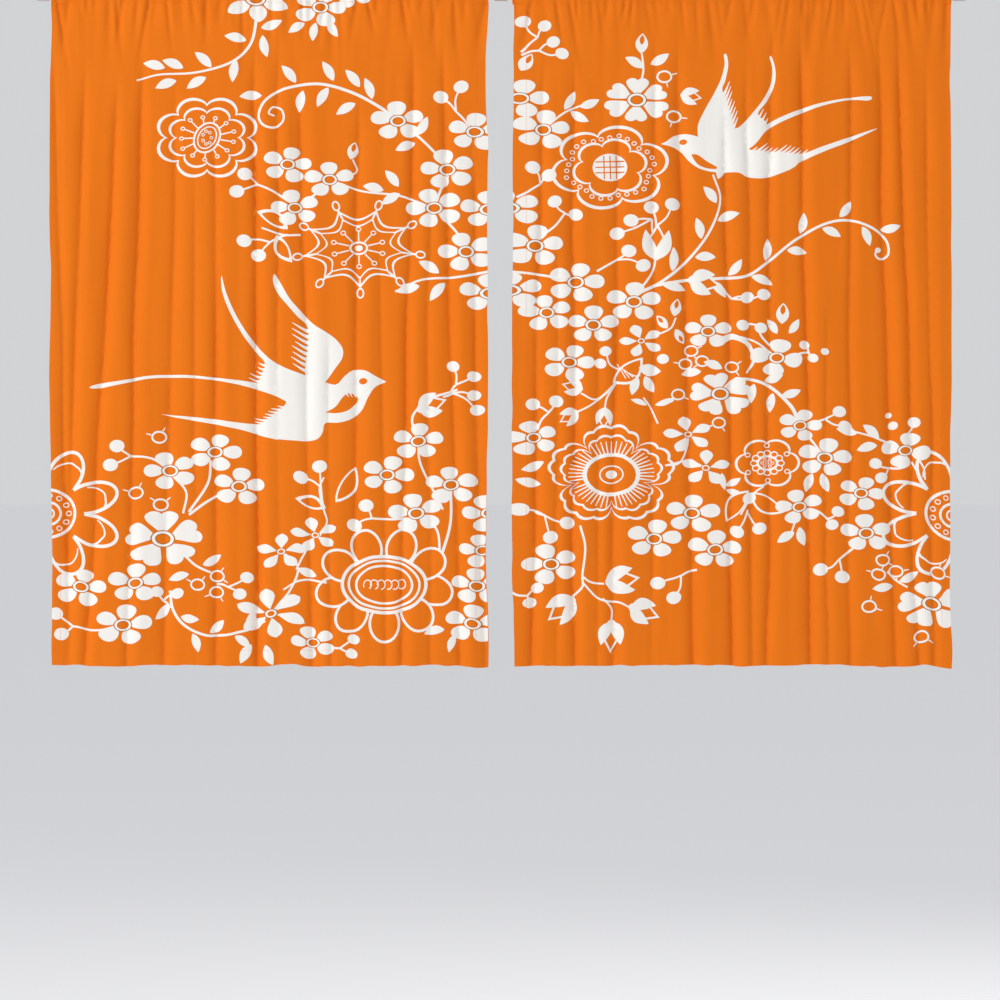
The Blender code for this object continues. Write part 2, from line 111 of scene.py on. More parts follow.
class Print:
    """Flat shapes in millimetres, each drawn over the ones before it."""

    def __init__(self):
        self.shapes = []

    def add(self, tone, points):
        points = np.asarray(points, float)
        x, y = points[:, 0], points[:, 1]
        area = np.sum(x * np.roll(y, -1) - y * np.roll(x, -1))
        if abs(area) > 0.5:
            self.shapes.append((tone, points if area > 0 else points[::-1]))

    def oval(self, tone, x, y, rx, ry, turn=0.0, steps=22):
        a = np.arange(steps) * math.tau / steps
        c, s = math.cos(turn), math.sin(turn)
        u, v = rx * np.cos(a), ry * np.sin(a)
        self.add(tone, np.stack([x + u * c - v * s, y + u * s + v * c], 1))

    def ring(self, x, y, rx, ry, width, turn=0.0, steps=22, tone=WHITE):
        self.oval(tone, x, y, rx, ry, turn, steps)
        self.oval(GROUND, x, y, rx - width, ry - width, turn, steps)

    def stroke(self, points, start=2.6, end=2.6, tone=WHITE, steps=7):
        """A line through the points whose width runs from start to end."""
        line = smooth_line(points, steps)
        along = np.gradient(line, axis=0)
        along /= np.linalg.norm(along, axis=1)[:, None] + 1e-9
        t = np.linspace(0, 1, len(line))[:, None]
        side = np.stack([-along[:, 1], along[:, 0]], 1) * (start + (end - start) * t) / 2
        self.add(tone, np.concatenate([line + side, (line - side)[::-1]]))

    def leaf(self, x, y, turn, length=34.0, width=13.0, tone=WHITE, bend=0.04, blunt=0.92):
        """Pointed at both ends, centred on x, y, with its tip towards turn (degrees, 90 is down)."""
        t = np.linspace(0, 1, 13)
        length = length * (0.86 if 27 < length < 42 else 1.0)
        half = 0.46 * width * np.sin(math.pi * t**blunt) ** 0.85
        curve = bend * length * (4 * t * (1 - t) - 0.5)
        u = (t - 0.5) * length
        a = math.radians(turn)
        edge = np.concatenate([np.stack([u, curve + half], 1), np.stack([u, curve - half], 1)[-2:0:-1]])
        c, s = math.cos(a), math.sin(a)
        u, v = edge.T
        self.add(tone, np.stack([x + u * c - v * s, y + u * s + v * c], 1))

    def stems(self, *lines):
        for points, start, end in lines:
            self.stroke(points, start, end)

    def leaves(self, length, width, *places):
        for x, y, turn in places:
            self.leaf(x, y, turn, length, width)

    def outline_leaf(self, x, y, turn, length=46.0, width=24.0, line=3.0):
        self.leaf(x, y, turn, length, width, bend=0.08)
        self.leaf(x, y, turn, length - 3.2 * line, width - 2.2 * line, GROUND, bend=0.08)


def smooth_line(points, steps=7):
    """A Catmull-Rom line through the points."""
    p = np.asarray(points, float)
    if len(p) == 2:
        return p[0] + (p[1] - p[0]) * np.linspace(0, 1, 3)[:, None]
    q = np.concatenate([[2 * p[0] - p[1]], p, [2 * p[-1] - p[-2]]])
    out = []
    for k in range(len(p) - 1):
        a, b, c, d = q[k : k + 4]
        for t in np.arange(steps) / steps:
            square, cube = 2 * a - 5 * b + 4 * c - d, 3 * b - a - 3 * c + d
            out.append(0.5 * (2 * b + (c - a) * t + square * t**2 + cube * t**3))
    out.append(p[-1])
    return np.array(out)


def vary(x, y, k=0):
    """A number from -1 to 1 that belongs to a place."""
    return float(2 * hashed(round(x), round(y), k + 3) - 1)


def flower_centre(art, x, y, rx, ry):
    for share, tone in ((0.330, BROWN), (0.292, WHITE), (0.205, BROWN), (0.168, GROUND)):
        art.oval(tone, x, y, rx * share, ry * share, 0, 20)


def petals(art, x, y, rx, ry, count, turn, shape):
    """Petals given as a closed outline (out, across) in units of the flower's radius."""
    out, across = np.asarray(shape, float).T
    for k in range(count):
        a = turn + math.tau * k / count
        size = 1 + 0.05 * vary(x + 7 * k, y, 1)
        u = (out * math.cos(a) - across * math.sin(a)) * size
        v = (out * math.sin(a) + across * math.cos(a)) * size
        art.add(WHITE, np.stack([x + u * rx, y + v * ry], 1))


def rounded_petal(count):
    a = np.arange(20) * math.tau / 20
    wide = 0.565 * math.sin(math.pi / count)
    return np.stack([0.63 + 0.37 * np.cos(a), wide * np.sin(a) * (1 + 0.22 * np.cos(a))], 1)


def heart_petal(count):
    half = np.array([(0.24, 0.07), (0.42, 0.22), (0.60, 0.36), (0.76, 0.435), (0.88, 0.42),
        (0.97, 0.32), (1.0, 0.20), (0.965, 0.07), (0.90, 0.0)])
    half = smooth_line(half, 3) * [1, math.sin(math.pi / count) / 0.60]
    return np.concatenate([half, (half * [1, -1])[::-1][1:]])


def tear_petal(count):
    t = np.linspace(0, 1, 11)
    half = 0.20 * (6 / max(count, 5)) * np.sin(math.pi * t**1.5) ** 0.8 + 0.015
    side = np.stack([0.17 + 0.83 * t, half], 1)
    return np.concatenate([side, (side * [1, -1])[::-1][1:-1]])


def pointed_petal(count):
    t = np.linspace(0, 1, 11)
    half = 0.30 * (5 / count) * np.sin(math.pi * t**0.9) ** 0.7 + 0.01
    side = np.stack([0.24 + 0.76 * t, half], 1)
    return np.concatenate([side, (side * [1, -1])[::-1][1:-1]])


def blossom(art, x, y, size=1.0, count=5, kind=rounded_petal, turn=None):
    turn = -math.pi / 2 + 0.35 * vary(x, y) if turn is None else turn
    shape = kind(count)
    rx, ry = 37.0 * size, 26.0 * size
    petals(art, x, y, rx, ry, count, turn, shape)
    if kind is tear_petal:
        for share, tone in ((0.19, BROWN), (0.16, WHITE), (0.10, GROUND)):
            art.oval(tone, x, y, rx * share, ry * share, 0, 16)
    else:
        flower_centre(art, x, y, rx, ry)


def berry(art, x, y, size=1.0):
    art.oval(WHITE, x, y, 10.5 * size, 8.6 * size, 0.3 * vary(x, y), 18)


def bowed(start, end, bow):
    """Three points from start to end, the middle one to the side by bow times the distance."""
    (ax, ay), (bx, by) = start, end
    return [start, ((ax + bx) / 2 + bow * (ay - by), (ay + by) / 2 - bow * (ax - bx)), end]


def sprig(art, node, ends, root=None, size=1.0):
    """Stems from a node to its berries, and from the node back to a root."""
    for end in ends:
        art.stroke(bowed(node, end, 0.14 * vary(*end)), STEM, STEM * 0.85)
        berry(art, *end, size)
    if root:
        art.stroke(bowed(node, root, 0.12 * vary(*root))[::-1], STEM * 1.1, STEM)


def vine(art, points, start=4.6, end=2.4, every=31.0, length=34.0, width=13.0, first=0.5, curl=0.0):
    """A tapering stem with leaves to alternate sides, and a curled tip where curl (mm) is given."""
    points = list(points)
    if curl:
        (ax, ay), (bx, by) = points[-2:]
        heading = math.atan2(by - ay, bx - ax)
        side = 1 if curl > 0 else -1
        radius = abs(curl)
        for step in range(1, 6):
            heading += side * 0.85
            radius *= 0.80
            bx, by = bx + radius * math.cos(heading), by + radius * math.sin(heading)
            points.append((bx, by))
    art.stroke(points, start, end)
    if curl:
        berry(art, *points[-1], 0.42)
    line = smooth_line(points[: len(points) - (5 if curl else 0)], 10)
    gone = np.concatenate([[0], np.cumsum(np.linalg.norm(np.diff(line, axis=0), axis=1))])
    if not every:
        return
    side, at = 1, every * first
    while at < gone[-1] - 4:
        k = min(int(np.searchsorted(gone, at)), len(line) - 2)
        way = math.degrees(math.atan2(*(line[k + 1] - line[k])[::-1]))
        lean = way + side * 48
        reach = length * 0.56
        art.leaf(
            line[k][0] + reach * math.cos(math.radians(lean)),
            line[k][1] + reach * math.sin(math.radians(lean)),
            lean, length * (1 + 0.1 * vary(at, way)), width, bend=-0.05 * side,
        )
        side, at = -side, at + every * (0.72 if side > 0 else 1.0)


def ticks(art, x, y, turn=-60.0, size=1.0):
    for a in (turn, turn + 95):
        c, s = math.cos(math.radians(a)), math.sin(math.radians(a))
        art.stroke([(x + 9 * c * size, y + 7 * s * size), (x + 19 * c * size, y + 15 * s * size)], 2.4,
            1.2)
    art.oval(BROWN, x, y, 11.6 * size, 9.6 * size, 0, 18)
    art.ring(x, y, 11 * size, 9 * size, 2.7 * size)


def tulip(art, x, y, turn, size=1.0):
    """Two solid outer petals and an outlined middle one, opening towards turn."""
    a = math.radians(turn)
    c, s = math.cos(a), math.sin(a)
    diamond = np.array([(3, 0), (14, -10), (25, -10.5), (44, 0), (25, 10.5), (14, 10)], float)
    for tone, scale in ((WHITE, 1.0), (GROUND, 0.72)):
        u, v = ((diamond - [23, 0]) * scale + [23, 0]).T * size
        art.add(tone, np.stack([x + u * c - v * s, y + u * s + v * c], 1))
    for side in (-1, 1):
        lean = a + side * 0.52
        middle = (x + 17 * size * math.cos(lean), y + 17 * size * math.sin(lean))
        art.leaf(*middle, turn + side * 24, 43 * size, 19 * size, bend=0.10 * side, blunt=0.85)
    art.oval(WHITE, x + 2 * c * size, y + 2 * s * size, 6.5 * size, 6.5 * size)


def bud(art, x, y, turn, size=1.0):
    art.leaf(x, y, turn, 26 * size, 15 * size, WHITE, 0.0)
    a = math.radians(turn)
    art.leaf(x + 4 * size * math.cos(a), y + 4 * size * math.sin(a), turn, 11 * size, 6 * size, GROUND,
        0.0)


def polar(x, y, rx, ry, radius, steps=120, turn=0.0):
    a = np.arange(steps) * math.tau / steps
    r = radius(a - turn)
    return np.stack([x + rx * r * np.cos(a), y + ry * r * np.sin(a)], 1)


def lobes(count, depth, sharp=1.0):
    """Scallops: full between the dips, which come count to a turn."""
    return lambda a: 1 - depth + depth * np.abs(np.sin(count * a / 2)) ** sharp


def outlined(art, x, y, rx, ry, radius, line, steps=120, turn=0.0):
    art.add(WHITE, polar(x, y, rx, ry, radius, steps, turn))
    art.add(GROUND, polar(x, y, rx - line * 1.15, ry - line, radius, steps, turn))


def stamens(art, x, y, rx, ry, count, turn, inner, outer, tip):
    for k in range(count):
        a = turn + math.tau * k / count
        reach = outer * (1 + 0.06 * vary(k * 9, x))
        ends = [(x + rx * r * math.cos(a), y + ry * r * math.sin(a)) for r in (inner, reach)]
        art.stroke(ends, 2.0, 1.6)
        art.ring(*ends[1], tip, tip * 0.85, 1.5, steps=12)


def scallop_flower(art, x, y):
    outlined(art, x, y, 73, 58, lobes(8, 0.20, 0.7), 4.2, 160)
    outlined(art, x, y, 56, 44, lobes(8, 0.20, 0.7), 3.4, 160)
    stamens(art, x, y, 46, 36, 13, 0.2, 0.42, 0.80, 3.4)
    art.ring(x, y, 18, 23, 2.6, 0.55)
    art.ring(x, y, 12.5, 17, 1.8, 0.55)
    for k in range(7):
        a = k * math.tau / 7
        art.ring(x + 6 * math.cos(a), y + 9 * math.sin(a), 2.5, 2.4, 1.1, steps=10)


def web_flower(art, x, y):
    def star(a):
        f = np.abs((a / math.tau * 9) % 1 - 0.5) * 2
        return 0.74 + 0.26 * f**2.2

    outlined(art, x, y, 78, 55, star, 4.0, 180, 0.15)
    outlined(art, x, y, 62, 43, star, 3.0, 180, 0.15)
    for k in range(9):
        a = 0.15 + math.tau * k / 9
        art.stroke([(x + 60 * math.cos(a), y + 42 * math.sin(a)),
            (x + 80 * math.cos(a), y + 57 * math.sin(a))], 2.6, 3.0)
        art.ring(x + 86 * math.cos(a), y + 62 * math.sin(a), 7.5, 5.6, 2.3, a, 14)
    stamens(art, x, y, 40, 29, 10, 0.3, 0.35, 0.88, 4.0)
    art.ring(x, y, 13, 9.5, 2.8)
    art.oval(WHITE, x, y, 5.5, 4.2)


def cloud_flower(art, x, y):
    outlined(art, x, y, 83, 59, lobes(6, 0.24, 0.62), 4.4, 150, 0.25)
    for k in range(30):
        a = math.tau * k / 30 + 0.1
        r = 0.74 - 0.09 * math.cos(3 * (a - 0.25)) ** 2 + 0.02 * (k % 2)
        art.ring(x + 83 * r * math.cos(a), y + 59 * r * math.sin(a), 3.7, 3.2, 1.4, steps=10)
    outlined(art, x, y, 53, 41, lobes(6, 0.24, 0.62), 3.6, 150, 0.25)
    art.oval(WHITE, x, y, 24, 19)
    for k in (-1, 0, 1):
        art.stroke([(x + 8.5 * k, y - 16), (x + 8.5 * k + 1, y + 16)], 1.7, 1.7, GROUND)
        art.stroke([(x - 20, y + 7.5 * k), (x + 20, y + 7.5 * k - 1)], 1.7, 1.7, GROUND)


def sun_flower(art, x, y):
    def pairs(a):
        big = np.abs(np.sin(5 * a / 2)) ** 0.4
        return 0.60 + 0.34 * big + 0.06 * np.abs(np.sin(20 * a / 2)) ** 0.8

    outlined(art, x, y, 90, 70, pairs, 4.0, 220, 0.31)
    outlined(art, x, y, 73, 56, pairs, 3.2, 220, 0.31)
    for k in range(50):
        a = math.tau * (k + 0.5) / 50
        if abs(math.sin(5 * (a - 0.31) / 2)) > 0.28:
            ends = [(x + 90 * r * math.cos(a), y + 70 * r * math.sin(a)) for r in (0.42, 0.66)]
            art.stroke(ends, 2.2, 1.3)
    art.oval(WHITE, x, y, 40, 30)
    art.oval(GROUND, x, y, 34, 25)
    art.ring(x, y, 17, 13, 2.0)
    art.oval(WHITE, x, y, 8, 6)


def rosette(art, x, y):
    outlined(art, x, y, 45, 35, lobes(6, 0.22, 0.6), 3.2, 120, 0.5)
    for k in range(6):
        a = 0.5 + math.tau * k / 6
        art.ring(x + 31 * math.cos(a), y + 24 * math.sin(a), 4.2, 3.6, 1.5, steps=12)
    for k in range(12):
        a = math.tau * k / 12
        art.ring(x + 18.5 * math.cos(a), y + 13.5 * math.sin(a), 5.4, 4.6, 1.7, steps=12)
    art.ring(x, y, 14, 10, 2.2)
    for k in range(7):
        a = math.tau * k / 6
        r = 0.0 if k == 6 else 1.0
        art.ring(x + 7 * r * math.cos(a), y + 5 * r * math.sin(a), 2.6, 2.2, 1.0, steps=10)


def ring_flower(art, x, y):
    for k in range(9):
        a = math.tau * k / 9 + 0.17
        px, py = x + 70 * math.cos(a), y + 54 * math.sin(a)
        art.oval(WHITE, px, py, 27, 22, a, 26)
        art.oval(GROUND, px, py, 23.2, 18.4, a, 26)
    for share, line in ((1.0, 4.6), (0.84, 3.2), (0.67, 3.2)):
        art.ring(x, y, 60 * share, 41 * share, line, 0.03, 48)
    for k in range(6):
        arc = np.radians(np.linspace(150, 420, 8)) + 0.25 * k
        art.stroke(np.stack([x - 23 + 9.4 * k + 5.4 * np.cos(arc), y + 6.4 * np.sin(arc)], 1), 1.4,
            1.8, steps=3)


def half_flower(art, x, y):
    """A large flower of lobed outlines with a shorter arc inside each lobe, cut by the outer edge."""
    radius, count = lobes(8, 0.50, 0.78), 8
    for k in range(count):
        arc = math.tau / count * (k + np.linspace(0, 1, 15))
        art.stroke(np.stack([x + 104 * radius(arc) * np.cos(arc), y + 90 * radius(arc) * np.sin(arc)],
            1), 4.6, 4.6, steps=3)
        arc = math.tau / count * (k + 0.5 + np.array([-0.33, -0.24, -0.12, 0.0, 0.12, 0.24, 0.33]))
        reach = radius(arc) * np.array([0.86, 0.84, 0.83, 0.84, 0.85, 0.91, 0.98])
        art.stroke(np.stack([x + 103 * reach * np.cos(arc), y + 89 * reach * np.sin(arc)], 1), 1.8, 3.0)
    art.ring(x, y, 41, 35, 4.2, 0, 40)
    for k in range(13):
        a = math.tau * k / 13
        art.ring(x + 30 * math.cos(a), y + 25 * math.sin(a), 4.4, 3.8, 1.5, steps=12)
    art.ring(x, y, 21, 17.5, 3.6, 0, 30)
    art.ring(x, y, 10.5, 8.6, 2.6, 0, 20)


class Bird:
    """Draws in millimetres from the bill's tip. Its bill points to +x, or to -x where facing is -1."""

    def __init__(self, art, x, y, facing):
        self.art, self.x, self.y, self.facing = art, x, y, facing

    def place(self, points):
        p = np.asarray(points, float)
        return np.stack([self.x + p[:, 0] * self.facing, self.y + p[:, 1]], 1)

    def patch(self, points, tone=WHITE):
        self.art.add(tone, self.place(smooth_line([*points, points[0]], 5)[:-1]))

    def barbs(self, start, end, count, way, length, width=6.5):
        """Thin pointed feather ends along a line."""
        (ax, ay), (bx, by) = start, end
        size = math.hypot(*way)
        for k in range(count):
            f = (k + 0.5) / count
            reach = length * (0.7 + 0.55 * abs(vary(7 * k, count))) / size
            root = (ax + (bx - ax) * f - way[0] * 3 / size, ay + (by - ay) * f - way[1] * 3 / size)
            middle = (root[0] + way[0] * reach * 0.55, root[1] + way[1] * reach * 0.55 + 0.8)
            tip = (root[0] + way[0] * reach * 1.2, root[1] + way[1] * reach * 1.2)
            self.art.stroke(self.place([root, middle, tip]), width, 0.7)


def swallow(art, x, y):
    bird = Bird(art, x, y, 1)
    bird.patch([(-150, 6), (-187, 0), (-230, -5), (-278, -9), (-325, -8), (-366, -2), (-397, 3),
        (-409, 8), (-396, 9), (-366, 3), (-325, -4), (-278, -5), (-230, -1), (-187, 8), (-157, 18),
        (-132, 30)])
    bird.patch([(-311, 45), (-278, 48), (-235, 52), (-196, 57), (-168, 58), (-134, 60), (-146, 79),
        (-162, 77), (-196, 67), (-235, 59), (-278, 52)])
    bird.barbs((-136, 34), (-170, 58), 7, (-1, -0.15), 16, 5.0)
    bird.patch([(-108, -8), (-136, -17), (-161, -32), (-185, -58), (-205, -88), (-220, -121),
        (-227, -146), (-226, -124), (-215, -95), (-198, -65), (-179, -40), (-167, -24), (-176, 2),
        (-160, 16), (-120, 12)])
    bird.barbs((-166, -26), (-176, 2), 5, (-1, -0.35), 14, 5.0)
    bird.patch([(-82, -2), (-70, -19), (-61, -32), (-60, -45), (-69, -58), (-84, -69), (-101, -80),
        (-118, -97), (-133, -114), (-146, -136), (-154, -148), (-156, -138), (-150, -122),
        (-138, -107), (-123, -90), (-109, -76), (-108, -50), (-112, -11), (-98, 10)])
    bird.barbs((-108, -74), (-112, -12), 8, (-1, -0.5), 19, 5.5)
    bird.patch([(0, 0), (-17, -9), (-30, -16), (-45, -16), (-57, -8), (-68, 3), (-80, 2), (-100, -6),
        (-130, -12), (-158, -16), (-174, 0), (-158, 14), (-138, 30), (-168, 58), (-160, 76),
        (-140, 81), (-118, 82), (-97, 79), (-88, 70), (-84, 57), (-67, 56), (-50, 52), (-34, 39),
        (-25, 21), (-15, 7)])
    bird.patch([(-84, 42), (-70, 34), (-60, 21), (-52, 16), (-43, 18), (-39, 25), (-45, 33), (-54, 40),
        (-69, 43)], GROUND)
    for k in range(3):
        bird.art.stroke(bird.place([(-56 + 5 * k, 14), (-52 + 5 * k, 21)]), 3.0, 0.8)
    bird.art.oval(GROUND, *bird.place([(-32, -1)])[0], 5.8, 4.4)


def diver(art, x, y):
    bird = Bird(art, x, y, -1)
    bird.patch([(-122, -6), (-146, -27), (-169, -39), (-200, -51), (-230, -59), (-261, -64),
        (-287, -66), (-291, -63), (-284, -60), (-261, -61), (-230, -55), (-200, -45), (-169, -32),
        (-146, -19), (-130, 0), (-116, 8)])
    bird.patch([(-120, 8), (-160, 12), (-194, 13), (-223, 3), (-261, -10), (-299, -22), (-261, -4),
        (-230, 8), (-200, 21), (-177, 32), (-158, 42), (-130, 34)])
    bird.barbs((-122, 9), (-196, 15), 11, (-0.8, -0.6), 15, 5.0)
    bird.patch([(-96, -14), (-114, -29), (-129, -46), (-142, -63), (-152, -84), (-154, -105),
        (-150, -119), (-153, -121), (-158, -103), (-157, -83), (-147, -60), (-134, -42), (-146, -28),
        (-134, -10)])
    bird.barbs((-132, -38), (-146, -27), 3, (-0.5, -0.85), 12, 4.5)
    bird.patch([(-52, -4), (-51, -25), (-60, -46), (-73, -69), (-83, -90), (-88, -110), (-87, -123),
        (-91, -123), (-93, -108), (-89, -88), (-85, -74), (-94, -48), (-101, -20), (-92, 0)])
    bird.barbs((-86, -72), (-101, -20), 8, (-0.4, -0.9), 16, 5.0)
    bird.patch([(0, 0), (-8, -4), (-18, -11), (-31, -14), (-45, -12), (-56, -10), (-80, -16),
        (-104, -22), (-126, -30), (-145, -26), (-134, -8), (-121, 6), (-150, 12), (-190, 15),
        (-186, 30), (-160, 42), (-139, 47), (-119, 45), (-106, 39), (-77, 39), (-54, 34), (-39, 24),
        (-28, 11), (-16, 4)])
    bird.patch([(-42, 14), (-51, 15), (-64, 24), (-79, 33), (-68, 34), (-54, 30), (-46, 22)], GROUND)
    bird.art.oval(GROUND, *bird.place([(-31, -3)])[0], 5.2, 3.8)


def each(motif, art, *places):
    for place in places:
        motif(art, *place)


def draw_left():
    art = Print()
    art.stroke([(-338, 6), (-338, 30), (-346, 60), (-372, 84), (-420, 98), (-470, 101), (-502, 109)],
        4.6, 2.2)
    art.leaves(36, 14, (-366, 50, -168), (-326, 62, 78), (-368, 96, 100), (-316, 32, -20),
        (-410, 80, -138), (-420, 112, 150), (-452, 86, -160), (-462, 114, 160), (-478, 88, -168))
    art.stroke([(-312, 158), (-320, 154), (-314, 146), (-302, 150), (-300, 164), (-312, 174),
        (-328, 170), (-334, 156), (-324, 136), (-296, 120), (-250, 114), (-205, 126), (-167, 146),
        (-142, 165)], 2.2, 4.4)
    art.leaves(36, 14, (-292, 100, -130), (-276, 138, 100), (-246, 132, 120), (-238, 96, -120),
        (-204, 106, -130), (-214, 148, 150), (-182, 120, -110), (-345, 130, 178))
    scallop_flower(art, -405, 188)
    art.stems(([(-142, 168), (-110, 190), (-74, 232), (-84, 262), (-92, 285)], 3.4, 3.4),
        ([(-92, 285), (-60, 320), (-48, 345)], 3.2, 3.2), ([(-284, 285), (-250, 262), (-236, 246)],
        3.2, 3.2), ([(-94, 285), (-140, 268), (-190, 262), (-236, 246)], 3.0, 2.4))
    art.leaves(34, 14, (-108, 172, -60), (-132, 200, 160), (-176, 257, -168), (-150, 244, -130),
        (-152, 272, 150))
    each(sprig, art, ((-62, 152), ((-83, 132), (-55, 118)), (-40, 178)),
        ((-336, 252), ((-353, 238), (-364, 262)), (-294, 275)))
    bud(art, -204, 206, -75, 1.1)
    art.stroke([(-204, 218), (-200, 236), (-232, 246)], 2.4, 2.6)
    web_flower(art, -196, 340)
    art.stroke([(-276, 322), (-300, 322), (-330, 312)], 3.0, 2.4)
    art.outline_leaf(-314, 300, -150, 50, 22)
    art.outline_leaf(-300, 342, 60, 44, 22)
    sprig(art, (-318, 332), ((-354, 330), (-334, 350)), (-294, 322))
    art.stroke([(-20, 372), (-60, 380), (-110, 384), (-146, 400)], 3.6, 2.6)
    art.leaves(38, 15, (-128, 396, 165), (-99, 366, -150), (-88, 400, 130))
    each(blossom, art, (-249, 8, 1), (-142, 165, 1), (-37, 180, 1), (-74, 232, 1.04), (-92, 285, 1.04),
        (-20, 287, 1), (-48, 345, 1.02), (-20, 402, 1), (-294, 225, 0.94), (-236, 246, 0.94),
        (-284, 285, 0.94))
    art.leaves(30, 13, (-282, 36, 150), (-258, 42, 100), (-232, 38, 60))
    blossom(art, -338, -4, 1.25, 6, pointed_petal)
    sprig(art, (-205, -20), ((-212, 0), (-190, -6)), None)
    swallow(art, -158, 524)
    art.stroke([(-114, 606), (-122, 572), (-96, 548), (-60, 535)], 3.4, 3.0)
    each(sprig, art, ((-62, 528), ((-66, 503), (-38, 516)), (-70, 540), 0.85),
        ((-66, 540), ((-38, 542), (-34, 562)), (-80, 545), 0.85))
    tulip(art, -112, 562, -20, 0.9)
    art.stems(([(-114, 606), (-110, 640), (-80, 700)], 3.0, 3.0),
        ([(-69, 672), (-70, 720), (-84, 770)], 3.4, 4.0), ([(-110, 712), (-88, 730), (-84, 772)], 3.0,
        3.4))
    sprig(art, (-178, 712), ((-186, 694), (-202, 721)), (-117, 712))
    art.stroke([(-247, 690), (-250, 670), (-244, 655)], 2.8, 2.4)
    sprig(art, (-248, 668), ((-250, 640), (-276, 656)), (-244, 700))
    art.outline_leaf(-212, 666, -60, 56, 26)
    art.outline_leaf(-262, 690, -165, 44, 20)
    art.stroke([(-244, 700), (-240, 718), (-252, 738)], 2.6, 2.6)
    ring_flower(art, -161, 803)
    art.stroke([(-240, 800), (-270, 796), (-300, 812)], 3.0, 2.4)
    art.leaf(-268, 786, -165, 34, 13)
    each(blossom, art, (-114, 606, 0.98), (-157, 652, 0.98), (-69, 666, 1), (-117, 705, 1.04),
        (-18, 703, 0.95), (-26, 754, 0.9), (-34, 803, 0.98), (-40, 855, 1))
    art.leaf(-92, 868, 165, 34, 13)
    art.leaf(-68, 884, 110, 30, 12)
    half_flower(art, -626, 706)
    sprig(art, (-510, 626), ((-529, 612), (-538, 638)), (-456, 647))
    each(ticks, art, (-471, 601, 200), (-503, 677, 200), (-469, 694, 220))
    art.stems(([(-400, 632), (-404, 664), (-430, 704)], 3.2, 3.6),
        ([(-361, 668), (-400, 686), (-430, 708)], 3.2, 3.6), ([(-456, 650), (-434, 676), (-438, 706)],
        3.0, 3.2))
    each(blossom, art, (-456, 647, 1.02), (-394, 621, 0.98), (-361, 668, 1))
    art.stroke([(-440, 760), (-420, 778), (-396, 788)], 3.4, 3.0)
    blossom(art, -466, 741, 1.42, 5, heart_petal)
    art.leaves(34, 13, (-444, 793, 165), (-398, 770, -30))
    each(ticks, art, (-391, 792, -60, 0.95), (-418, 804, -150, 0.95), (-392, 814, 60, 0.95))
    sprig(art, (-376, 806), ((-350, 793), (-360, 816)), (-392, 803), 0.9)
    art.stems(([(-303, 759), (-280, 780), (-290, 812), (-312, 838)], 2.8, 3.0),
        ([(-256, 734), (-272, 762), (-282, 784)], 2.6, 2.6))
    each(blossom, art, (-303, 759, 0.98, 5, tear_petal), (-256, 734, 0.92, 5, tear_petal))
    vine(art, ((-456, 812), (-452, 838), (-434, 862), (-400, 874), (-352, 866), (-325, 852)), 4.0, 3.2,
        30, 32, 13)
    sprig(art, (-466, 826), ((-474, 814), (-446, 816)), (-456, 836), 0.85)
    blossom(art, -317, 843, 1.36, 6, tear_petal)
    art.leaves(36, 15, (-352, 898, 120), (-320, 900, 70))
    sprig(art, (-590, 862), ((-614, 844), (-606, 872)), (-521, 856))
    each(blossom, art, (-579, 807, 1), (-504, 801, 1), (-521, 858, 1.06), (-259, 882, 0.86))
    sprig(art, (-222, 890), ((-203, 878), (-206, 898)), (-240, 886), 0.8)
    return art


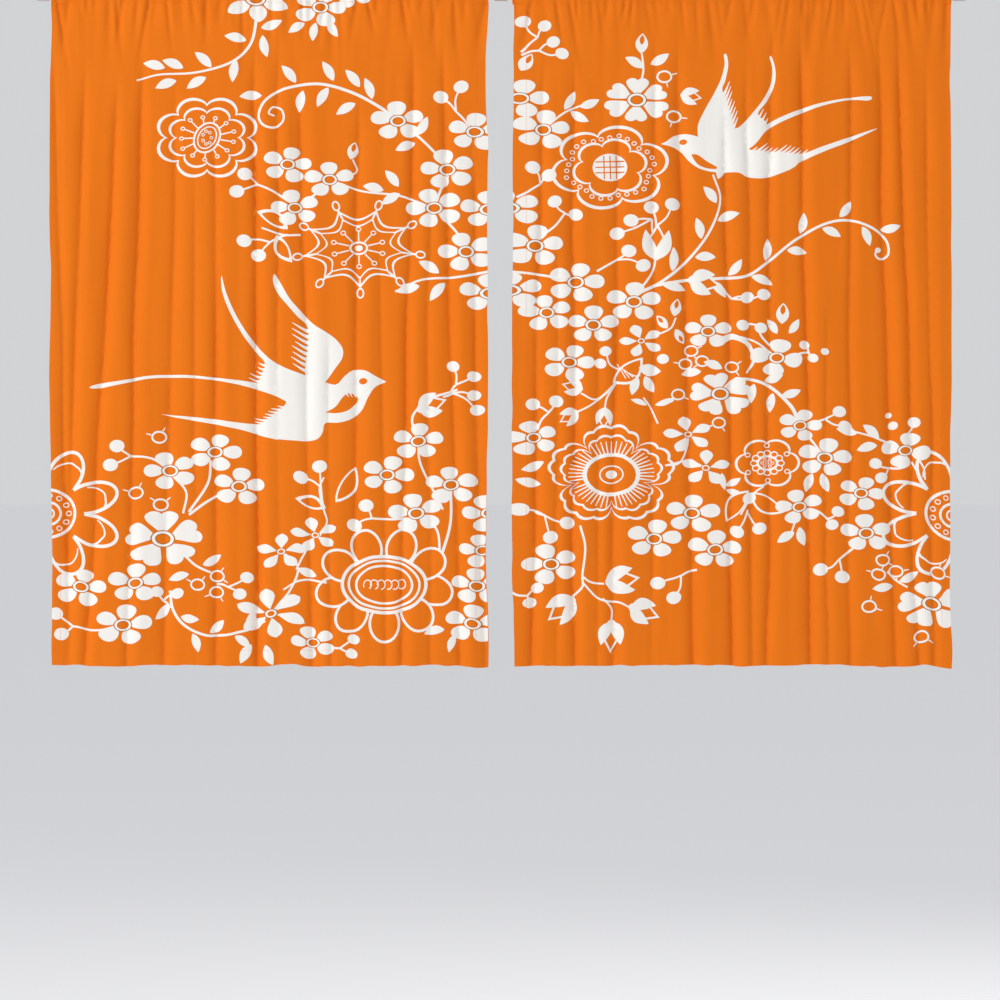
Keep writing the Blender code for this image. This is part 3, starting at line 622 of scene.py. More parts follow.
def draw_right():
    art = Print()
    each(sprig, art, ((50, 50), ((32, 28), (60, 34)), (30, 70), 0.9), ((52, 68), ((72, 56), (84, 72)),
        (30, 74), 0.9))
    bud(art, 36, 84, -60, 1.2)
    art.leaves(34, 13, (95, 137, -60), (122, 141, -20), (108, 159, 30))
    art.stroke([(58, 177), (90, 152), (128, 138)], 3.0, 2.4)
    bud(art, 194, 58, -85, 1.25)
    art.stroke([(194, 72), (196, 96), (190, 120)], 2.8, 3.0)
    art.leaves(34, 14, (184, 84, -150), (219, 80, -30))
    blossom(art, 187, 136, 1.18, 6, heart_petal)
    each(ticks, art, (225, 104, -20), (238, 159, 10))
    tulip(art, 250, 129, 10, 0.62)
    diver(art, 220, 197)
    cloud_flower(art, 150, 229)
    each(sprig, art, ((54, 252), ((44, 229), (66, 240)), (26, 270)),
        ((88, 292), ((74, 276), (103, 294)), (58, 322), 0.95), ((208, 300), ((179, 302), (160, 320)),
        (214, 330)), ((214, 310), ((207, 284), (236, 280)), (216, 332)))
    tulip(art, 214, 352, -88, 1.05)
    art.stroke([(214, 350), (208, 374), (190, 400), (183, 414)], 3.0, 3.2)
    sprig(art, (160, 356), ((176, 344), (196, 364)), (132, 372))
    vine(art, ((190, 402), (222, 386), (258, 356), (288, 316), (302, 274), (292, 239)), 4.4, 2.6, 33,
        36, 14, 0.9)
    vine(art, ((210, 392), (260, 384), (303, 382), (339, 378), (368, 359), (404, 330), (446, 307),
        (480, 302), (511, 312), (530, 328), (534, 346)), 4.2, 2.6, 34, 34, 13, 2.2, 12)
    tulip(art, 262, 384, 12, 0.95)
    sprig(art, (318, 410), ((339, 408), (362, 404)), (306, 396), 0.9)
    art.stroke([(18, 372), (60, 378), (103, 387)], 3.4, 3.0)
    each(blossom, art, (28, 134, 1), (58, 177, 1.02), (18, 285, 1), (47, 337, 1.08), (20, 398, 0.98),
        (103, 387, 1.04), (63, 429, 0.96), (127, 446, 1), (183, 414, 1.04), (94, 497, 0.98),
        (285, 455, 0.92))
    each(bud, art, (241, 422, -78, 1.1), (222, 442, -130, 0.9), (246, 462, 60, 0.9))
    art.stems(([(241, 436), (232, 452), (206, 462)], 2.4, 2.4),
        ([(307, 466), (320, 462), (340, 472), (348, 494), (338, 512)], 9.5, 2.6))
    blossom(art, 193, 468, 0.86, 5, tear_petal)
    each(ticks, art, (262, 482, -30, 0.9), (277, 496, 40, 0.9), (254, 500, 190, 0.9),
        (318, 504, -40, 0.9), (244, 542, 30, 0.9), (300, 581, 60, 0.9))
    art.stroke([(302, 538), (326, 520), (365, 528), (398, 556), (410, 580)], 3.0, 5.4)
    art.leaves(32, 13, (376, 519, -20), (346, 540, 100), (372, 553, 100), (400, 540, -15),
        (292, 501, -160), (262, 512, 170))
    art.stroke([(380, 491), (352, 470), (330, 462)], 2.8, 2.4)
    sprig(art, (352, 446), ((333, 446), (358, 450)), (370, 474), 0.85)
    bud(art, 388, 430, -85, 1.3)
    art.leaves(28, 12, (374, 448, -125), (404, 448, -55))
    blossom(art, 380, 491, 0.96, 4, rounded_petal, turn=0.2)
    sprig(art, (424, 484), ((418, 474), (430, 492)), (404, 488), 0.7)
    berry(art, 446, 483, 0.55)
    blossom(art, 302, 541, 1.12, 5, heart_petal)
    art.stroke([(145, 482), (150, 500), (168, 510)], 2.4, 2.4)
    each(berry, art, (144, 482, 0.8), (137, 499, 0.8), (223, 493, 0.8))
    art.outline_leaf(176, 510, -40, 54, 30)
    for k in range(5):
        art.stroke([(160 + 5 * k, 500 + 4 * k), (172 + 5 * k, 520 - 1 * k)], 1.4, 1.4)
    art.leaf(205, 508, 10, 36, 18)
    art.leaf(204, 528, 60, 30, 15)
    art.leaf(184, 530, 110, 30, 14)
    each(tulip, art, (110, 534, 195, 0.62), (104, 566, 150, 0.62), (143, 562, 95, 0.62))
    art.stems(([(143, 562), (146, 546), (160, 524)], 2.4, 2.6), ([(104, 566), (124, 556), (150, 536)],
        2.4, 2.4), ([(110, 540), (132, 548), (160, 524)], 2.4, 2.6),
        ([(216, 582), (206, 560), (196, 546)], 2.6, 2.2))
    art.leaf(190, 552, -160, 28, 8)
    art.leaf(226, 552, -20, 34, 9)
    sprig(art, (66, 566), ((44, 555), (76, 551)), (50, 590), 0.95)
    art.leaves(36, 14, (45, 640, -20), (40, 662, 15))
    sprig(art, (60, 708), ((29, 699), (91, 718)), (44, 700))
    berry(art, 68, 738, 1.0)
    art.stroke([(66, 732), (60, 708)], 2.6, 2.6)
    sun_flower(art, 152, 652)
    art.stems(([(226, 640), (246, 636), (256, 616), (258, 600)], 2.6, 2.4),
        ([(226, 640), (258, 634), (282, 643)], 2.6, 2.6))
    each(blossom, art, (258, 597, 0.96, 5, tear_petal), (282, 643, 0.98, 5, tear_petal))
    art.leaves(24, 10, (306, 662, 80), (320, 662, -30), (322, 676, 10))
    rosette(art, 367, 636)
    art.stroke([(362, 668), (350, 676), (342, 686), (330, 706)], 2.6, 2.6)
    art.outline_leaf(324, 694, 125, 54, 26, 2.6)
    art.outline_leaf(366, 692, 30, 54, 26, 2.6)
    each(berry, art, (342, 684, 0.9), (325, 730, 0.95), (356, 726, 0.95))
    art.stems(([(340, 700), (334, 716), (326, 728)], 2.6, 2.4), ([(340, 704), (348, 718), (356, 726)],
        2.6, 2.4), ([(412, 588), (428, 606), (446, 630)], 3.2, 3.0))
    sprig(art, (446, 576), ((466, 566), (474, 586)), (420, 584), 0.9)
    art.stroke([(557, 618), (520, 602), (484, 592), (464, 590)], 3.0, 2.0)
    art.leaves(34, 14, (476, 592, -168), (510, 592, -140), (504, 614, 165))
    sprig(art, (560, 596), ((569, 580),), (557, 612), 0.85)
    each(berry, art, (540, 584, 0.66), (534, 570, 0.45))
    sprig(art, (534, 642), ((516, 636), (524, 655)), (558, 640), 0.85)
    art.stems(([(572, 626), (582, 644), (584, 660)], 2.6, 2.4), ([(566, 634), (574, 650), (578, 664)],
        2.6, 2.4))
    art.leaves(32, 14, (424, 664, 110), (446, 664, 70), (392, 738, 150), (414, 738, 75))
    art.stroke([(411, 700), (404, 720), (400, 732)], 2.6, 2.4)
    sprig(art, (450, 714), ((464, 704), (456, 722)), (425, 700), 0.85)
    each(blossom, art, (412, 585, 0.86, 5), (446, 630, 1.02, 5), (557, 618, 0.92, 4),
        (496, 677, 0.9, 5), (411, 697, 0.9, 5), (503, 732, 1.0, 5), (263, 706, 1.02, 5),
        (295, 756, 1.02, 5), (211, 741, 1.02, 5), (69, 775, 1.04, 5), (45, 601, 0.92, 5))
    half_flower(art, 624, 705)
    art.stems(([(109, 722), (116, 752), (112, 790), (112, 806), (98, 820)], 3.2, 3.0),
        ([(112, 792), (124, 800), (142, 802)], 2.8, 2.6),
        ([(112, 800), (134, 822), (160, 828), (176, 834)], 2.8, 2.6),
        ([(140, 822), (152, 836), (152, 854)], 2.6, 2.6))
    each(tulip, art, (148, 800, -8, 1.0), (98, 824, 140, 1.0), (180, 834, 22, 0.95),
        (152, 856, 92, 0.95))
    each(sprig, art, ((248, 792), ((216, 802), (238, 822)), (270, 784)),
        ((36, 818), ((50, 808), (40, 828)), (20, 812), 0.85), ((466, 770), ((440, 784), (470, 794)),
        (486, 752)))
    each(ticks, art, (526, 768, -60, 0.95), (544, 784, -10, 0.95), (520, 788, 200, 0.95))
    art.stroke([(532, 784), (544, 796), (560, 806)], 2.4, 2.6)
    art.leaves(34, 13, (562, 792, -25), (526, 806, 170))
    each(ticks, art, (602, 786, -80), (507, 833, -80))
    blossom(art, 593, 830, 1.2, 5, heart_petal)
    ticks(art, 579, 876, 30)
    return art


# The hung cloth

rng = np.random.default_rng(7)


def path_points(radius):
    """The cloth's outer face from the lower seam up the front, over the header and down the back:
    (forward from the rod's axis, up) in millimetres."""
    reach = math.acos(radius / -(SEAM_Z / MM))
    front = [(0.9, SEAM_Z / MM)]
    for angle in np.linspace(reach, math.pi - 0.42, 16):
        front.append((radius * math.sin(angle), -radius * math.cos(angle)))
    front += [(1.3, HEADER_SEAM), (1.0, HEADER_SEAM + 2), (1.2, HEADER_TOP - 2),
        (0.9, HEADER_TOP - 0.5)]
    back = [(-x, z) for x, z in front[::-1]]
    return np.array(front + [(0.0, HEADER_TOP)] + back + [(-0.9, SEAM_Z / MM - TAIL)])


PATH = path_points(POCKET_RADIUS)
PATH_D = -np.concatenate([[0], np.cumsum(np.linalg.norm(np.diff(PATH, axis=0), axis=1))])
TOP_D = float(PATH_D[np.argmax(PATH[:, 1])])
BACK_D = float(PATH_D[-1])
HEADER_D = float(np.interp(-HEADER_SEAM, -PATH[:21, 1], PATH_D[:21]))
REAR_HEADER_D = 2 * TOP_D - HEADER_D


def fine_path():
    """Even steps up the path: depth, forward, up, and the outward direction's two parts."""
    fine = np.linspace(BACK_D, 0, 900)
    kernel = np.hanning(13) / np.hanning(13).sum()
    forward, up = (np.convolve(np.pad(np.interp(-fine, -PATH_D, part), 6, mode="edge"), kernel,
        "valid") for part in PATH.T)
    df, du = np.gradient(forward, fine), np.gradient(up, fine)
    length = np.hypot(df, du) + 1e-9
    return fine, forward, up, -du / length, df / length


FINE_PATH = fine_path()


def path_at(d):
    return [np.interp(d, FINE_PATH[0], part) for part in FINE_PATH[1:]]


class Panel:
    """The shape that one panel's cloth hangs in. side is -1 at the left and 1 at the right."""

    def __init__(self, side, grooves, seed):
        self.side, self.seed = side, seed
        self.grooves = grooves
        self.puckers = []
        x = 24.0
        while x < 618:
            self.puckers.append((
                side * x,
                rng.uniform(2.4, 4.6),
                rng.uniform(0.7, 2.4),
                rng.uniform(25, 130),
                rng.uniform(-0.22, 0.22),
            ))
            x += rng.uniform(8, 21)

    def forward(self, x, d):
        """How far the cloth stands forward of its plane, below the pocket (millimetres)."""
        s = self.seed
        h = 2.0 * noise(x / 75 + 0.05 * noise(d / 260, 0, s), d / 900, s) * ease((d - 30) / 260)
        h = h + 0.75 * noise(x / 26, d / 420, s + 1) * ease((d + 10) / 120)
        h = h + 0.34 * noise(x / 9.5, d / 160, s + 2) + 0.16 * noise(x / 30, d / 28, s + 3)
        for x0, slant, width, depth, start, end in self.grooves:
            way = x0 + slant * (d - 450) + 3.2 * noise(d / 150, x0 / 10, s + 4)
            grow = ease((d - start) / 130) * (1 - 0.75 * ease((d - end) / 160))
            grow = grow * (0.82 + 0.18 * noise(d / 120, x0, s + 5))
            t = (x - way) / (width * (0.75 + 0.25 * grow))
            h = h - 1.3 * depth * grow * np.exp(-np.abs(t) ** 1.7)
            h = h - 0.46 * depth * grow * np.exp(-((2.6 * t) ** 2))
            u = (x - way - 1.9 * width) / (1.3 * width)
            h = h + 0.36 * depth * grow * np.exp(-u * u)
        for x0, width, depth, length, slant in self.puckers:
            fade = 1 - ease(d / length)
            t = (x - x0 - slant * d) / (width * (1 + 0.9 * d / length))
            h = h - 1.6 * depth * fade * np.exp(-t * t) * (1 - 0.35 * np.exp(-((d / 4.0) ** 2)))
        h = h + 1.5 * noise(x / 13, d / 60, s + 6) * np.exp(-d / 55)
        h = h - 1.5 * np.exp(-((d - 0.5) / 2.2) ** 2)
        h = h - 0.28 * np.exp(-((d - DROP + HEM_DEPTH - 3) / 1.6) ** 2)
        return h + 2.0 * ease((d - 40) / 200)

    def gather(self, x, d):
        """How far the cloth stands off its path over the pocket, header and back."""
        s = self.seed + 20
        back = ease((TOP_D - d) / 12)
        phase = x + 6 * noise(x / 40, d / 30, s) + 3 * back
        ripple = 0.5 + 0.5 * noise(phase / 7.5, d / 90 + 2 * back, s + 1)
        ripple = ripple + 0.45 * (0.5 + 0.5 * noise(phase / 3.6, d / 40, s + 2))
        pocket = np.exp(-((d - HEADER_D / 2) / (abs(HEADER_D) / 2.6)) ** 4)
        pocket = pocket + np.exp(-((d
            - (REAR_HEADER_D + BACK_D + TAIL) / 2) / (abs(HEADER_D) / 2.6)) ** 4)
        free = ease((HEADER_D - 2 - d) / 16) * ease((d - REAR_HEADER_D - 2) / 16)
        ruffle = noise(x / 15, 0, s + 3) * 2.6 + noise(x / 6.5, 0, s + 4) * 0.9
        sign = np.where(d > TOP_D, 1.0, -1.0)
        swell = ease(np.abs(d - TOP_D) / 6)
        return ripple * (0.3 + 1.9 * pocket + 0.8 * free * swell), ruffle * free * sign

    def place(self, x, d):
        """World points of the cloth's outer face. x and d are arrays in millimetres."""
        x, d = np.broadcast_arrays(np.asarray(x, float), np.asarray(d, float))
        low = d > 0
        below = np.where(low, d, 0.0)
        above = np.where(low, 0.0, d)
        f, up, out_f, out_u = path_at(above)
        stand, ruffle = self.gather(x, above)
        clear = up - SEAM_Z / MM
        join = ease(np.abs(clear) / 9.0) * (~low)
        hang = self.forward(x, np.where(low, below, np.maximum(-clear, 0.0)))
        ff = f + out_f * stand * join + ruffle + hang * (1 - join)
        uu = up + out_u * stand * join * 0.9
        a = np.abs(x)
        sag = 1.9 * noise(x / 42, 0, self.seed + 8) + 1.0 * noise(x / 15, 0, self.seed + 9)
        sag = sag + self.droop(a)
        z = uu * MM - (below + sag * ease(below / DROP) ** 2) * MM
        edge = ease((a - OUTER) / HEM_WIDTH) * self.outer_wave(d)
        edge = edge + ease((LEAD - a) / HEM_WIDTH) * self.lead_wave(d)
        return np.stack([(x + self.side * edge) * MM, ROD_Y - ff * MM, z], -1)

    def droop(self, a):
        amount = 5.0 if self.side > 0 else 1.5
        return amount * ease((a - 575) / 45) ** 1.5 + 2.0 * ease((60 - a) / 38)

    def outer_wave(self, d):
        return 2.0 * noise(d / 130, 0, self.seed + 10) + 0.7 * noise(d / 37, 0, self.seed + 11)

    def lead_wave(self, d):
        reach = -5.0 if self.side > 0 else -2.5
        return reach + 2.4 * noise(d / 110, 0, self.seed + 12) + 0.9 * noise(d / 33, 0, self.seed + 13)


LEFT = Panel(-1, [
    (-606, 0.03, 7, 2.4, 40, 800), (-584, -0.035, 8, 3.0, 60, 700), (-546, -0.055, 8, 3.8, 90, 900),
    (-504, -0.03, 8, 3.6, 60, 950), (-455, -0.02, 9, 3.0, 90, 950), (-420, 0.0, 7, 1.8, 200, 600),
    (-394, 0.0, 8, 3.6, 120, 950), (-338, 0.004, 8, 5.2, 40, 950), (-306, 0.0, 6, 2.2, 30, 420),
    (-269, 0.02, 9, 3.8, 60, 950), (-236, 0.0, 7, 2.0, 420, 950), (-200, -0.01, 9, 4.0, 100, 700),
    (-166, 0.02, 7, 2.0, 300, 900), (-128, -0.02, 8, 4.2, 30, 950), (-98, 0.0, 7, 2.2, 200, 950),
    (-68, 0.03, 8, 3.8, 20, 900), (-34, 0.02, 7, 3.0, 150, 900),
], 11)
RIGHT = Panel(1, [
    (52, -0.02, 8, 4.0, 60, 950), (78, 0.0, 6, 1.8, 300, 800), (101, 0.0, 8, 4.2, 60, 950),
    (135, 0.0, 7, 2.0, 350, 950), (160, -0.01, 9, 3.4, 100, 950), (210, 0.0, 8, 3.2, 30, 700),
    (255, 0.025, 10, 5.2, 40, 1000), (313, 0.01, 8, 4.4, 120, 1000), (343, 0.01, 7, 2.6, 60, 950),
    (371, -0.005, 7, 3.2, 20, 950), (420, 0.02, 8, 4.6, 20, 1000), (450, 0.0, 6, 1.8, 400, 900),
    (481, 0.0, 8, 3.4, 30, 1000), (532, 0.03, 9, 4.6, 15, 1000), (560, 0.03, 7, 3.6, 20, 950),
    (592, 0.01, 7, 2.6, 60, 900),
], 41)


# Building the cloth's meshes


def levels(low, high):
    """Depths of the grid's rows: close where the cloth bends over the rod and puckers."""
    rows = [low]
    while rows[-1] < high - 1:
        d = rows[-1]
        step = 3.0 if d < -8 else 4.2 if d < 110 else 11.0
        rows.append(d + step)
    return np.array([r for r in rows[1:] if r < high - 1.2])


def tessellate(x0, x1, d0, d1, art, step=3.5):
    """Triangles of a rectangle of the print: points (x, d), triangles and their tones."""
    points, faces, tones = [], [], []

    def put(poly, tone):
        start = len(points)
        points.extend(map(tuple, poly))
        faces.append(list(range(start, len(points))))
        tones.append(tone)

    rows, cols = levels(d0, d1), np.arange(x0 + step, x1 - step / 2, step)
    bottom = [(x, d0) for x in np.concatenate([[x0], cols])]
    right = [(x1, d) for d in np.concatenate([[d0], rows])]
    top = [(x, d1) for x in np.concatenate([[x1], cols[::-1]])]
    left = [(x0, d) for d in np.concatenate([[d1], rows[::-1]])]
    put(bottom + right + top + left, GROUND)
    rim = len(points)
    for tone, shape in art.shapes if art else ():
        (left_most, upper), (right_most, lower) = shape.min(0), shape.max(0)
        if right_most > x0 and left_most < x1 and lower > d0 and upper < d1:
            put(shape, tone)
    gx, gd = np.meshgrid(cols, rows)
    gx = gx + (np.arange(len(rows)) % 2)[:, None] * step / 2
    keep = gx < x1 - step / 3
    points.extend(zip(gx[keep], gd[keep]))
    flat = [Vector((float(x), float(d))) for x, d in points]
    verts, _, tris, ids, _, parents = delaunay_2d_cdt(flat, [], faces, 1, 0.01, True)
    chosen = [(t, tones[max(p)]) for t, p in zip(tris, parents) if 0 in p]
    used = sorted({i for t, _ in chosen for i in t})
    renumber = {old: new for new, old in enumerate(used)}
    xd = np.array([verts[i][:] for i in used])
    triangles = np.array([[renumber[i] for i in t] for t, _ in chosen])
    return xd, triangles, np.array([tone for _, tone in chosen])


def add_mesh(name, points, faces, *materials):
    """A smooth-shaded object in the scene. Its points are in metres."""
    mesh = bpy.data.meshes.new(name)
    mesh.from_pydata(points.tolist(), [], faces)
    mesh.polygons.foreach_set("use_smooth", np.ones(len(faces), bool))
    for material in materials:
        mesh.materials.append(material)
    obj = bpy.data.objects.new(name, mesh)
    bpy.context.scene.collection.objects.link(obj)
    return obj


def outline_edges(triangles):
    """Directed edges that only one triangle has."""
    edges = np.concatenate([triangles[:, [0, 1]], triangles[:, [1, 2]], triangles[:, [2, 0]]])
    seen = {}
    for a, b in edges.tolist():
        seen[(a, b)] = seen.get((a, b), 0) + 1
    return [(a, b) for a, b in seen if (b, a) not in seen]


def surface_normals(panel, xd):
    e = 0.35
    px = panel.place(xd[:, 0] + e, xd[:, 1]) - panel.place(xd[:, 0] - e, xd[:, 1])
    up = np.maximum(xd[:, 1] - e, BACK_D + 0.01)
    pd = panel.place(xd[:, 0], xd[:, 1] + e) - panel.place(xd[:, 0], up)
    n = np.cross(px, pd)
    return -n / (np.linalg.norm(n, axis=1)[:, None] + 1e-12)


def cloth_solid(name, panel, x_range, d_range, art, materials, thickness, inset=0.0, step=3.5):
    """A closed sheet. Its front has materials 0 to 2 by tone, its back 3 to 5, and its rim 0."""
    x0, x1 = sorted(x_range)
    xd, tris, tones = tessellate(x0, x1, *d_range, art, step)
    p = panel.place(xd[:, 0], xd[:, 1])
    n = surface_normals(panel, xd)
    front = p - n * inset * MM
    rear = p - n * (inset + thickness) * MM
    count = len(xd)
    a, b, c = p[tris[:, 0]], p[tris[:, 1]], p[tris[:, 2]]
    facing = np.einsum("ij,ij->i", np.cross(b - a, c - a), n[tris[:, 0]])
    if facing.sum() < 0:
        tris = tris[:, ::-1]
    rim = outline_edges(tris)
    quads = [(j, i, i + count, j + count) for i, j in rim]
    faces = tris.tolist() + (tris[:, ::-1] + count).tolist() + quads
    obj = add_mesh(name, np.concatenate([front, rear]), faces, *materials)
    mesh = obj.data
    index = np.concatenate([tones, tones + 3, np.zeros(len(quads), int)])
    mesh.polygons.foreach_set("material_index", index.astype(np.int32))
    loops = np.concatenate([tris.ravel(), (tris[:, ::-1] + count).ravel()])
    normals = np.where((loops < count)[:, None], n[loops % count], -n[loops % count])
    side = np.array([np.cross(p[j] - p[i], n[i]) for i, j in rim])
    side /= np.linalg.norm(side, axis=1)[:, None] + 1e-12
    normals = np.concatenate([normals, np.repeat(side, 4, axis=0)])
    uv = mesh.uv_layers.new(name="weave")
    everything = np.concatenate([loops, np.array(quads).ravel()])
    weave = xd[everything % count] * [FULLNESS, 1.0] * 0.01
    uv.data.foreach_set("uv", weave.astype(np.float32).ravel())
    mesh.update()
    mesh.normals_split_custom_set(normals.tolist())
    return obj


def stitches(name, panel, line, material, length=2.3, gap=0.7, width=0.42, height=0.22):
    """A row of thread stitches that follows the cloth along a line of (x, d) points."""
    line = np.asarray(line, float)
    world = panel.place(line[:, 0], line[:, 1])
    gone = np.concatenate([[0], np.cumsum(np.linalg.norm(np.diff(world, axis=0), axis=1))]) / MM
    starts = np.arange(1.0, gone[-1] - length - 1, length + gap)
    shares = np.array([0.0, 0.16, 0.5, 0.84, 1.0])
    sizes = np.array([0.25, 0.85, 1.0, 0.85, 0.25])
    at = (starts[:, None] + length * shares).ravel()
    xd = np.stack([np.interp(at, gone, line[:, 0]), np.interp(at, gone, line[:, 1])], 1)
    p = panel.place(xd[:, 0], xd[:, 1]).reshape(-1, 5, 3)
    n = surface_normals(panel, xd).reshape(-1, 5, 3)
    along = p[:, -1:] - p[:, :1]
    along = along / np.linalg.norm(along, axis=-1, keepdims=True)
    across = np.cross(n, np.broadcast_to(along, n.shape))
    a = (np.arange(6) + 0.5) * math.tau / 6
    thick = across[:, :, None] * (np.cos(a) * width / 2)[:, None]
    thick = thick + n[:, :, None] * (np.sin(a) * height)[:, None]
    lift = n * np.array([-0.05, 0.10, 0.10, 0.10, -0.05])[:, None] * MM
    points = (p + lift)[:, :, None] + thick * sizes[:, None, None] * MM
    faces = []
    for base in range(0, 30 * len(starts), 30):
        for ring in range(base, base + 24, 6):
            faces += [(ring + j, ring + (j + 1) % 6, ring + (j + 1) % 6 + 6, ring + j + 6)
                for j in range(6)]
        faces.append(tuple(range(base + 5, base - 1, -1)))
        faces.append(tuple(range(base + 24, base + 30)))
    return add_mesh(name, points.reshape(-1, 3), faces, material)


# Materials


class Nodes:
    """A material, its shader's inputs, and the nodes that lead to them."""

    def __init__(self, name):
        self.material = bpy.data.materials.new(name)
        self.material.use_nodes = True
        self.nodes, self.links = self.material.node_tree.nodes, self.material.node_tree.links
        self.shader = self.nodes["Principled BSDF"].inputs

    def feed(self, socket, value):
        if isinstance(value, bpy.types.NodeSocket):
            self.links.new(value, socket)
        else:
            socket.default_value = value

    def new(self, kind, **inputs):
        made = self.nodes.new("ShaderNode" + kind)
        for name, value in inputs.items():
            self.feed(made.inputs[name], value)
        return made.outputs[0]

    def math(self, operation, *values):
        made = self.nodes.new("ShaderNodeMath")
        made.operation = operation
        for socket, value in zip(made.inputs, values):
            self.feed(socket, value)
        return made.outputs[0]

    def plus(self, a, b):
        return self.math("ADD", a, b)

    def times(self, a, b):
        return self.math("MULTIPLY", a, b)

    def noise(self, vector, scale, detail, rough):
        return self.new("TexNoise", Vector=vector, Scale=scale, Detail=detail, Roughness=rough)

    def finish(self, share, colour, shade, rough, height, strength, distance):
        """Leads a tone that varies with share, a roughness and a bump to the shader."""
        mix = self.nodes.new("ShaderNodeMix")
        mix.data_type = "RGBA"
        self.feed(mix.inputs[0], share)
        mix.inputs[6].default_value = (*[c * shade for c in colour], 1)
        mix.inputs[7].default_value = (*colour, 1)
        self.feed(self.shader["Base Color"], mix.outputs[2])
        self.feed(self.shader["Roughness"], rough)
        bump = self.new("Bump", Height=height, Strength=strength, Distance=distance)
        self.feed(self.shader["Normal"], bump)
        return self.material


def cloth_material(name, colour, shade=0.88, sheen=0.06, rough=0.78, bump=0.55):
    """A fine plain weave in the cloth's own coordinates, with uneven yarns and a broad tone change."""
    made = Nodes(name)
    plus, times = made.plus, made.times
    uv = made.nodes.new("ShaderNodeUVMap")
    uv.uv_map = "weave"
    split = made.nodes.new("ShaderNodeSeparateXYZ")
    made.feed(split.inputs[0], uv.outputs[0])
    pitches = (WARP_PITCH, WEFT_PITCH)
    u, v = (times(split.outputs[k], math.pi * 100 / pitches[k]) for k in (0, 1))
    u, v = made.math("SINE", u), made.math("SINE", v)
    over = times(times(u, v), 0.35)
    weave = plus(times(made.math("ABSOLUTE", u), made.math("ABSOLUTE", v)), over)

    def streaks(scale_u, scale_v, detail):
        drawn = made.new("Mapping", Vector=uv.outputs[0], Scale=(scale_u, scale_v, 1))
        return made.noise(drawn, 1.0, detail, 0.6)

    slub = plus(streaks(95, 1.6, 3.0), streaks(1.6, 95, 3.0))
    tone = plus(times(slub, 0.34), times(streaks(1.3, 0.8, 2.0), 0.42))
    tone = plus(tone, times(weave, 0.16))
    ramp = made.nodes.new("ShaderNodeMapRange")
    for socket, value in (("From Min", 0.25), ("From Max", 0.95), ("Value", tone)):
        made.feed(ramp.inputs[socket], value)
    constants = (("Sheen Weight", sheen), ("Sheen Roughness", 0.45), ("Specular IOR Level", 0.14))
    for socket, value in constants:
        made.shader[socket].default_value = value
    uneven = plus(times(slub, 0.09), rough - 0.09)
    height = plus(weave, times(slub, 0.6))
    return made.finish(ramp.outputs[0], colour, shade, uneven, height, bump, 0.00012)


def metal_material(
    name, colour, rough, axis=(1, 1, 1), spread=0.1, grain=900.0, bump=0.05, metallic=1.0
):
    """Brushed along one axis, with a faint uneven haze."""
    made = Nodes(name)
    plus, times = made.plus, made.times
    place = made.nodes.new("ShaderNodeTexCoord").outputs["Object"]
    fine = made.noise(made.new("Mapping", Vector=place, Scale=axis), grain, 3.0, 0.6)
    both = plus(times(fine, 0.5), times(made.noise(place, 38.0, 4.0, 0.65), 0.5))
    made.shader["Metallic"].default_value = metallic
    uneven = plus(times(both, spread * 2), rough - spread)
    return made.finish(both, colour, 0.86, uneven, fine, bump, 0.0002)


ORANGE = (0.890, 0.196, 0.006)
PAPER = (0.97, 0.94, 0.885)
front_orange = cloth_material("cloth_orange", ORANGE)
front_white = cloth_material("print_white", PAPER, 0.88, 0.1, 0.7, 0.3)
front_brown = cloth_material("print_outline", (0.50, 0.16, 0.03), 0.9, 0.05)
back_orange = cloth_material("cloth_orange_reverse", (0.92, 0.36, 0.09), 0.9)
back_white = cloth_material("print_white_reverse", (0.93, 0.80, 0.66), 0.94, 0.1, 0.75, 0.3)
back_brown = cloth_material("print_outline_reverse", (0.80, 0.45, 0.22), 0.92, 0.1)
thread = metal_material("orange_thread", (0.86, 0.24, 0.03), 0.6, (1, 1, 1), 0.1, 1500.0, 0.3, 0.0)
nickel = metal_material("satin_nickel_brushed", (0.62, 0.60, 0.57), 0.34, (0.03, 1.0, 1.0))
nickel_turned = metal_material("satin_nickel_turned", (0.62, 0.60, 0.57), 0.30, (1.0, 0.08, 0.08))
zinc = metal_material("zinc_plated", (0.70, 0.70, 0.72), 0.30, (1, 1, 1), 0.12)
nylon = metal_material("pale_nylon_moulded", (0.80, 0.79, 0.76), 0.46, (1, 1, 1), 0.06, 700.0, 0.06,
    0.0)


def soft_edges():
    """Modifiers' node group: shades the facets smooth up to 32 degrees."""
    group = bpy.data.node_groups.new("smooth_by_angle", "GeometryNodeTree")
    group.interface.new_socket("Geometry", in_out="INPUT", socket_type="NodeSocketGeometry")
    group.interface.new_socket("Geometry", in_out="OUTPUT", socket_type="NodeSocketGeometry")
    start, end = group.nodes.new("NodeGroupInput"), group.nodes.new("NodeGroupOutput")
    angle = group.nodes.new("GeometryNodeInputMeshEdgeAngle")
    compare = group.nodes.new("FunctionNodeCompare")
    compare.operation = "LESS_THAN"
    compare.inputs[1].default_value = math.radians(32)
    edges, faces = (group.nodes.new("GeometryNodeSetShadeSmooth") for _ in range(2))
    edges.domain, faces.domain = "EDGE", "FACE"
    link = group.links.new
    link(start.outputs[0], edges.inputs["Geometry"])
    link(angle.outputs["Unsigned Angle"], compare.inputs[0])
    link(compare.outputs[0], edges.inputs["Shade Smooth"])
    link(edges.outputs[0], faces.inputs["Geometry"])
    link(faces.outputs[0], end.inputs[0])
    return group


SOFT_EDGES = soft_edges()


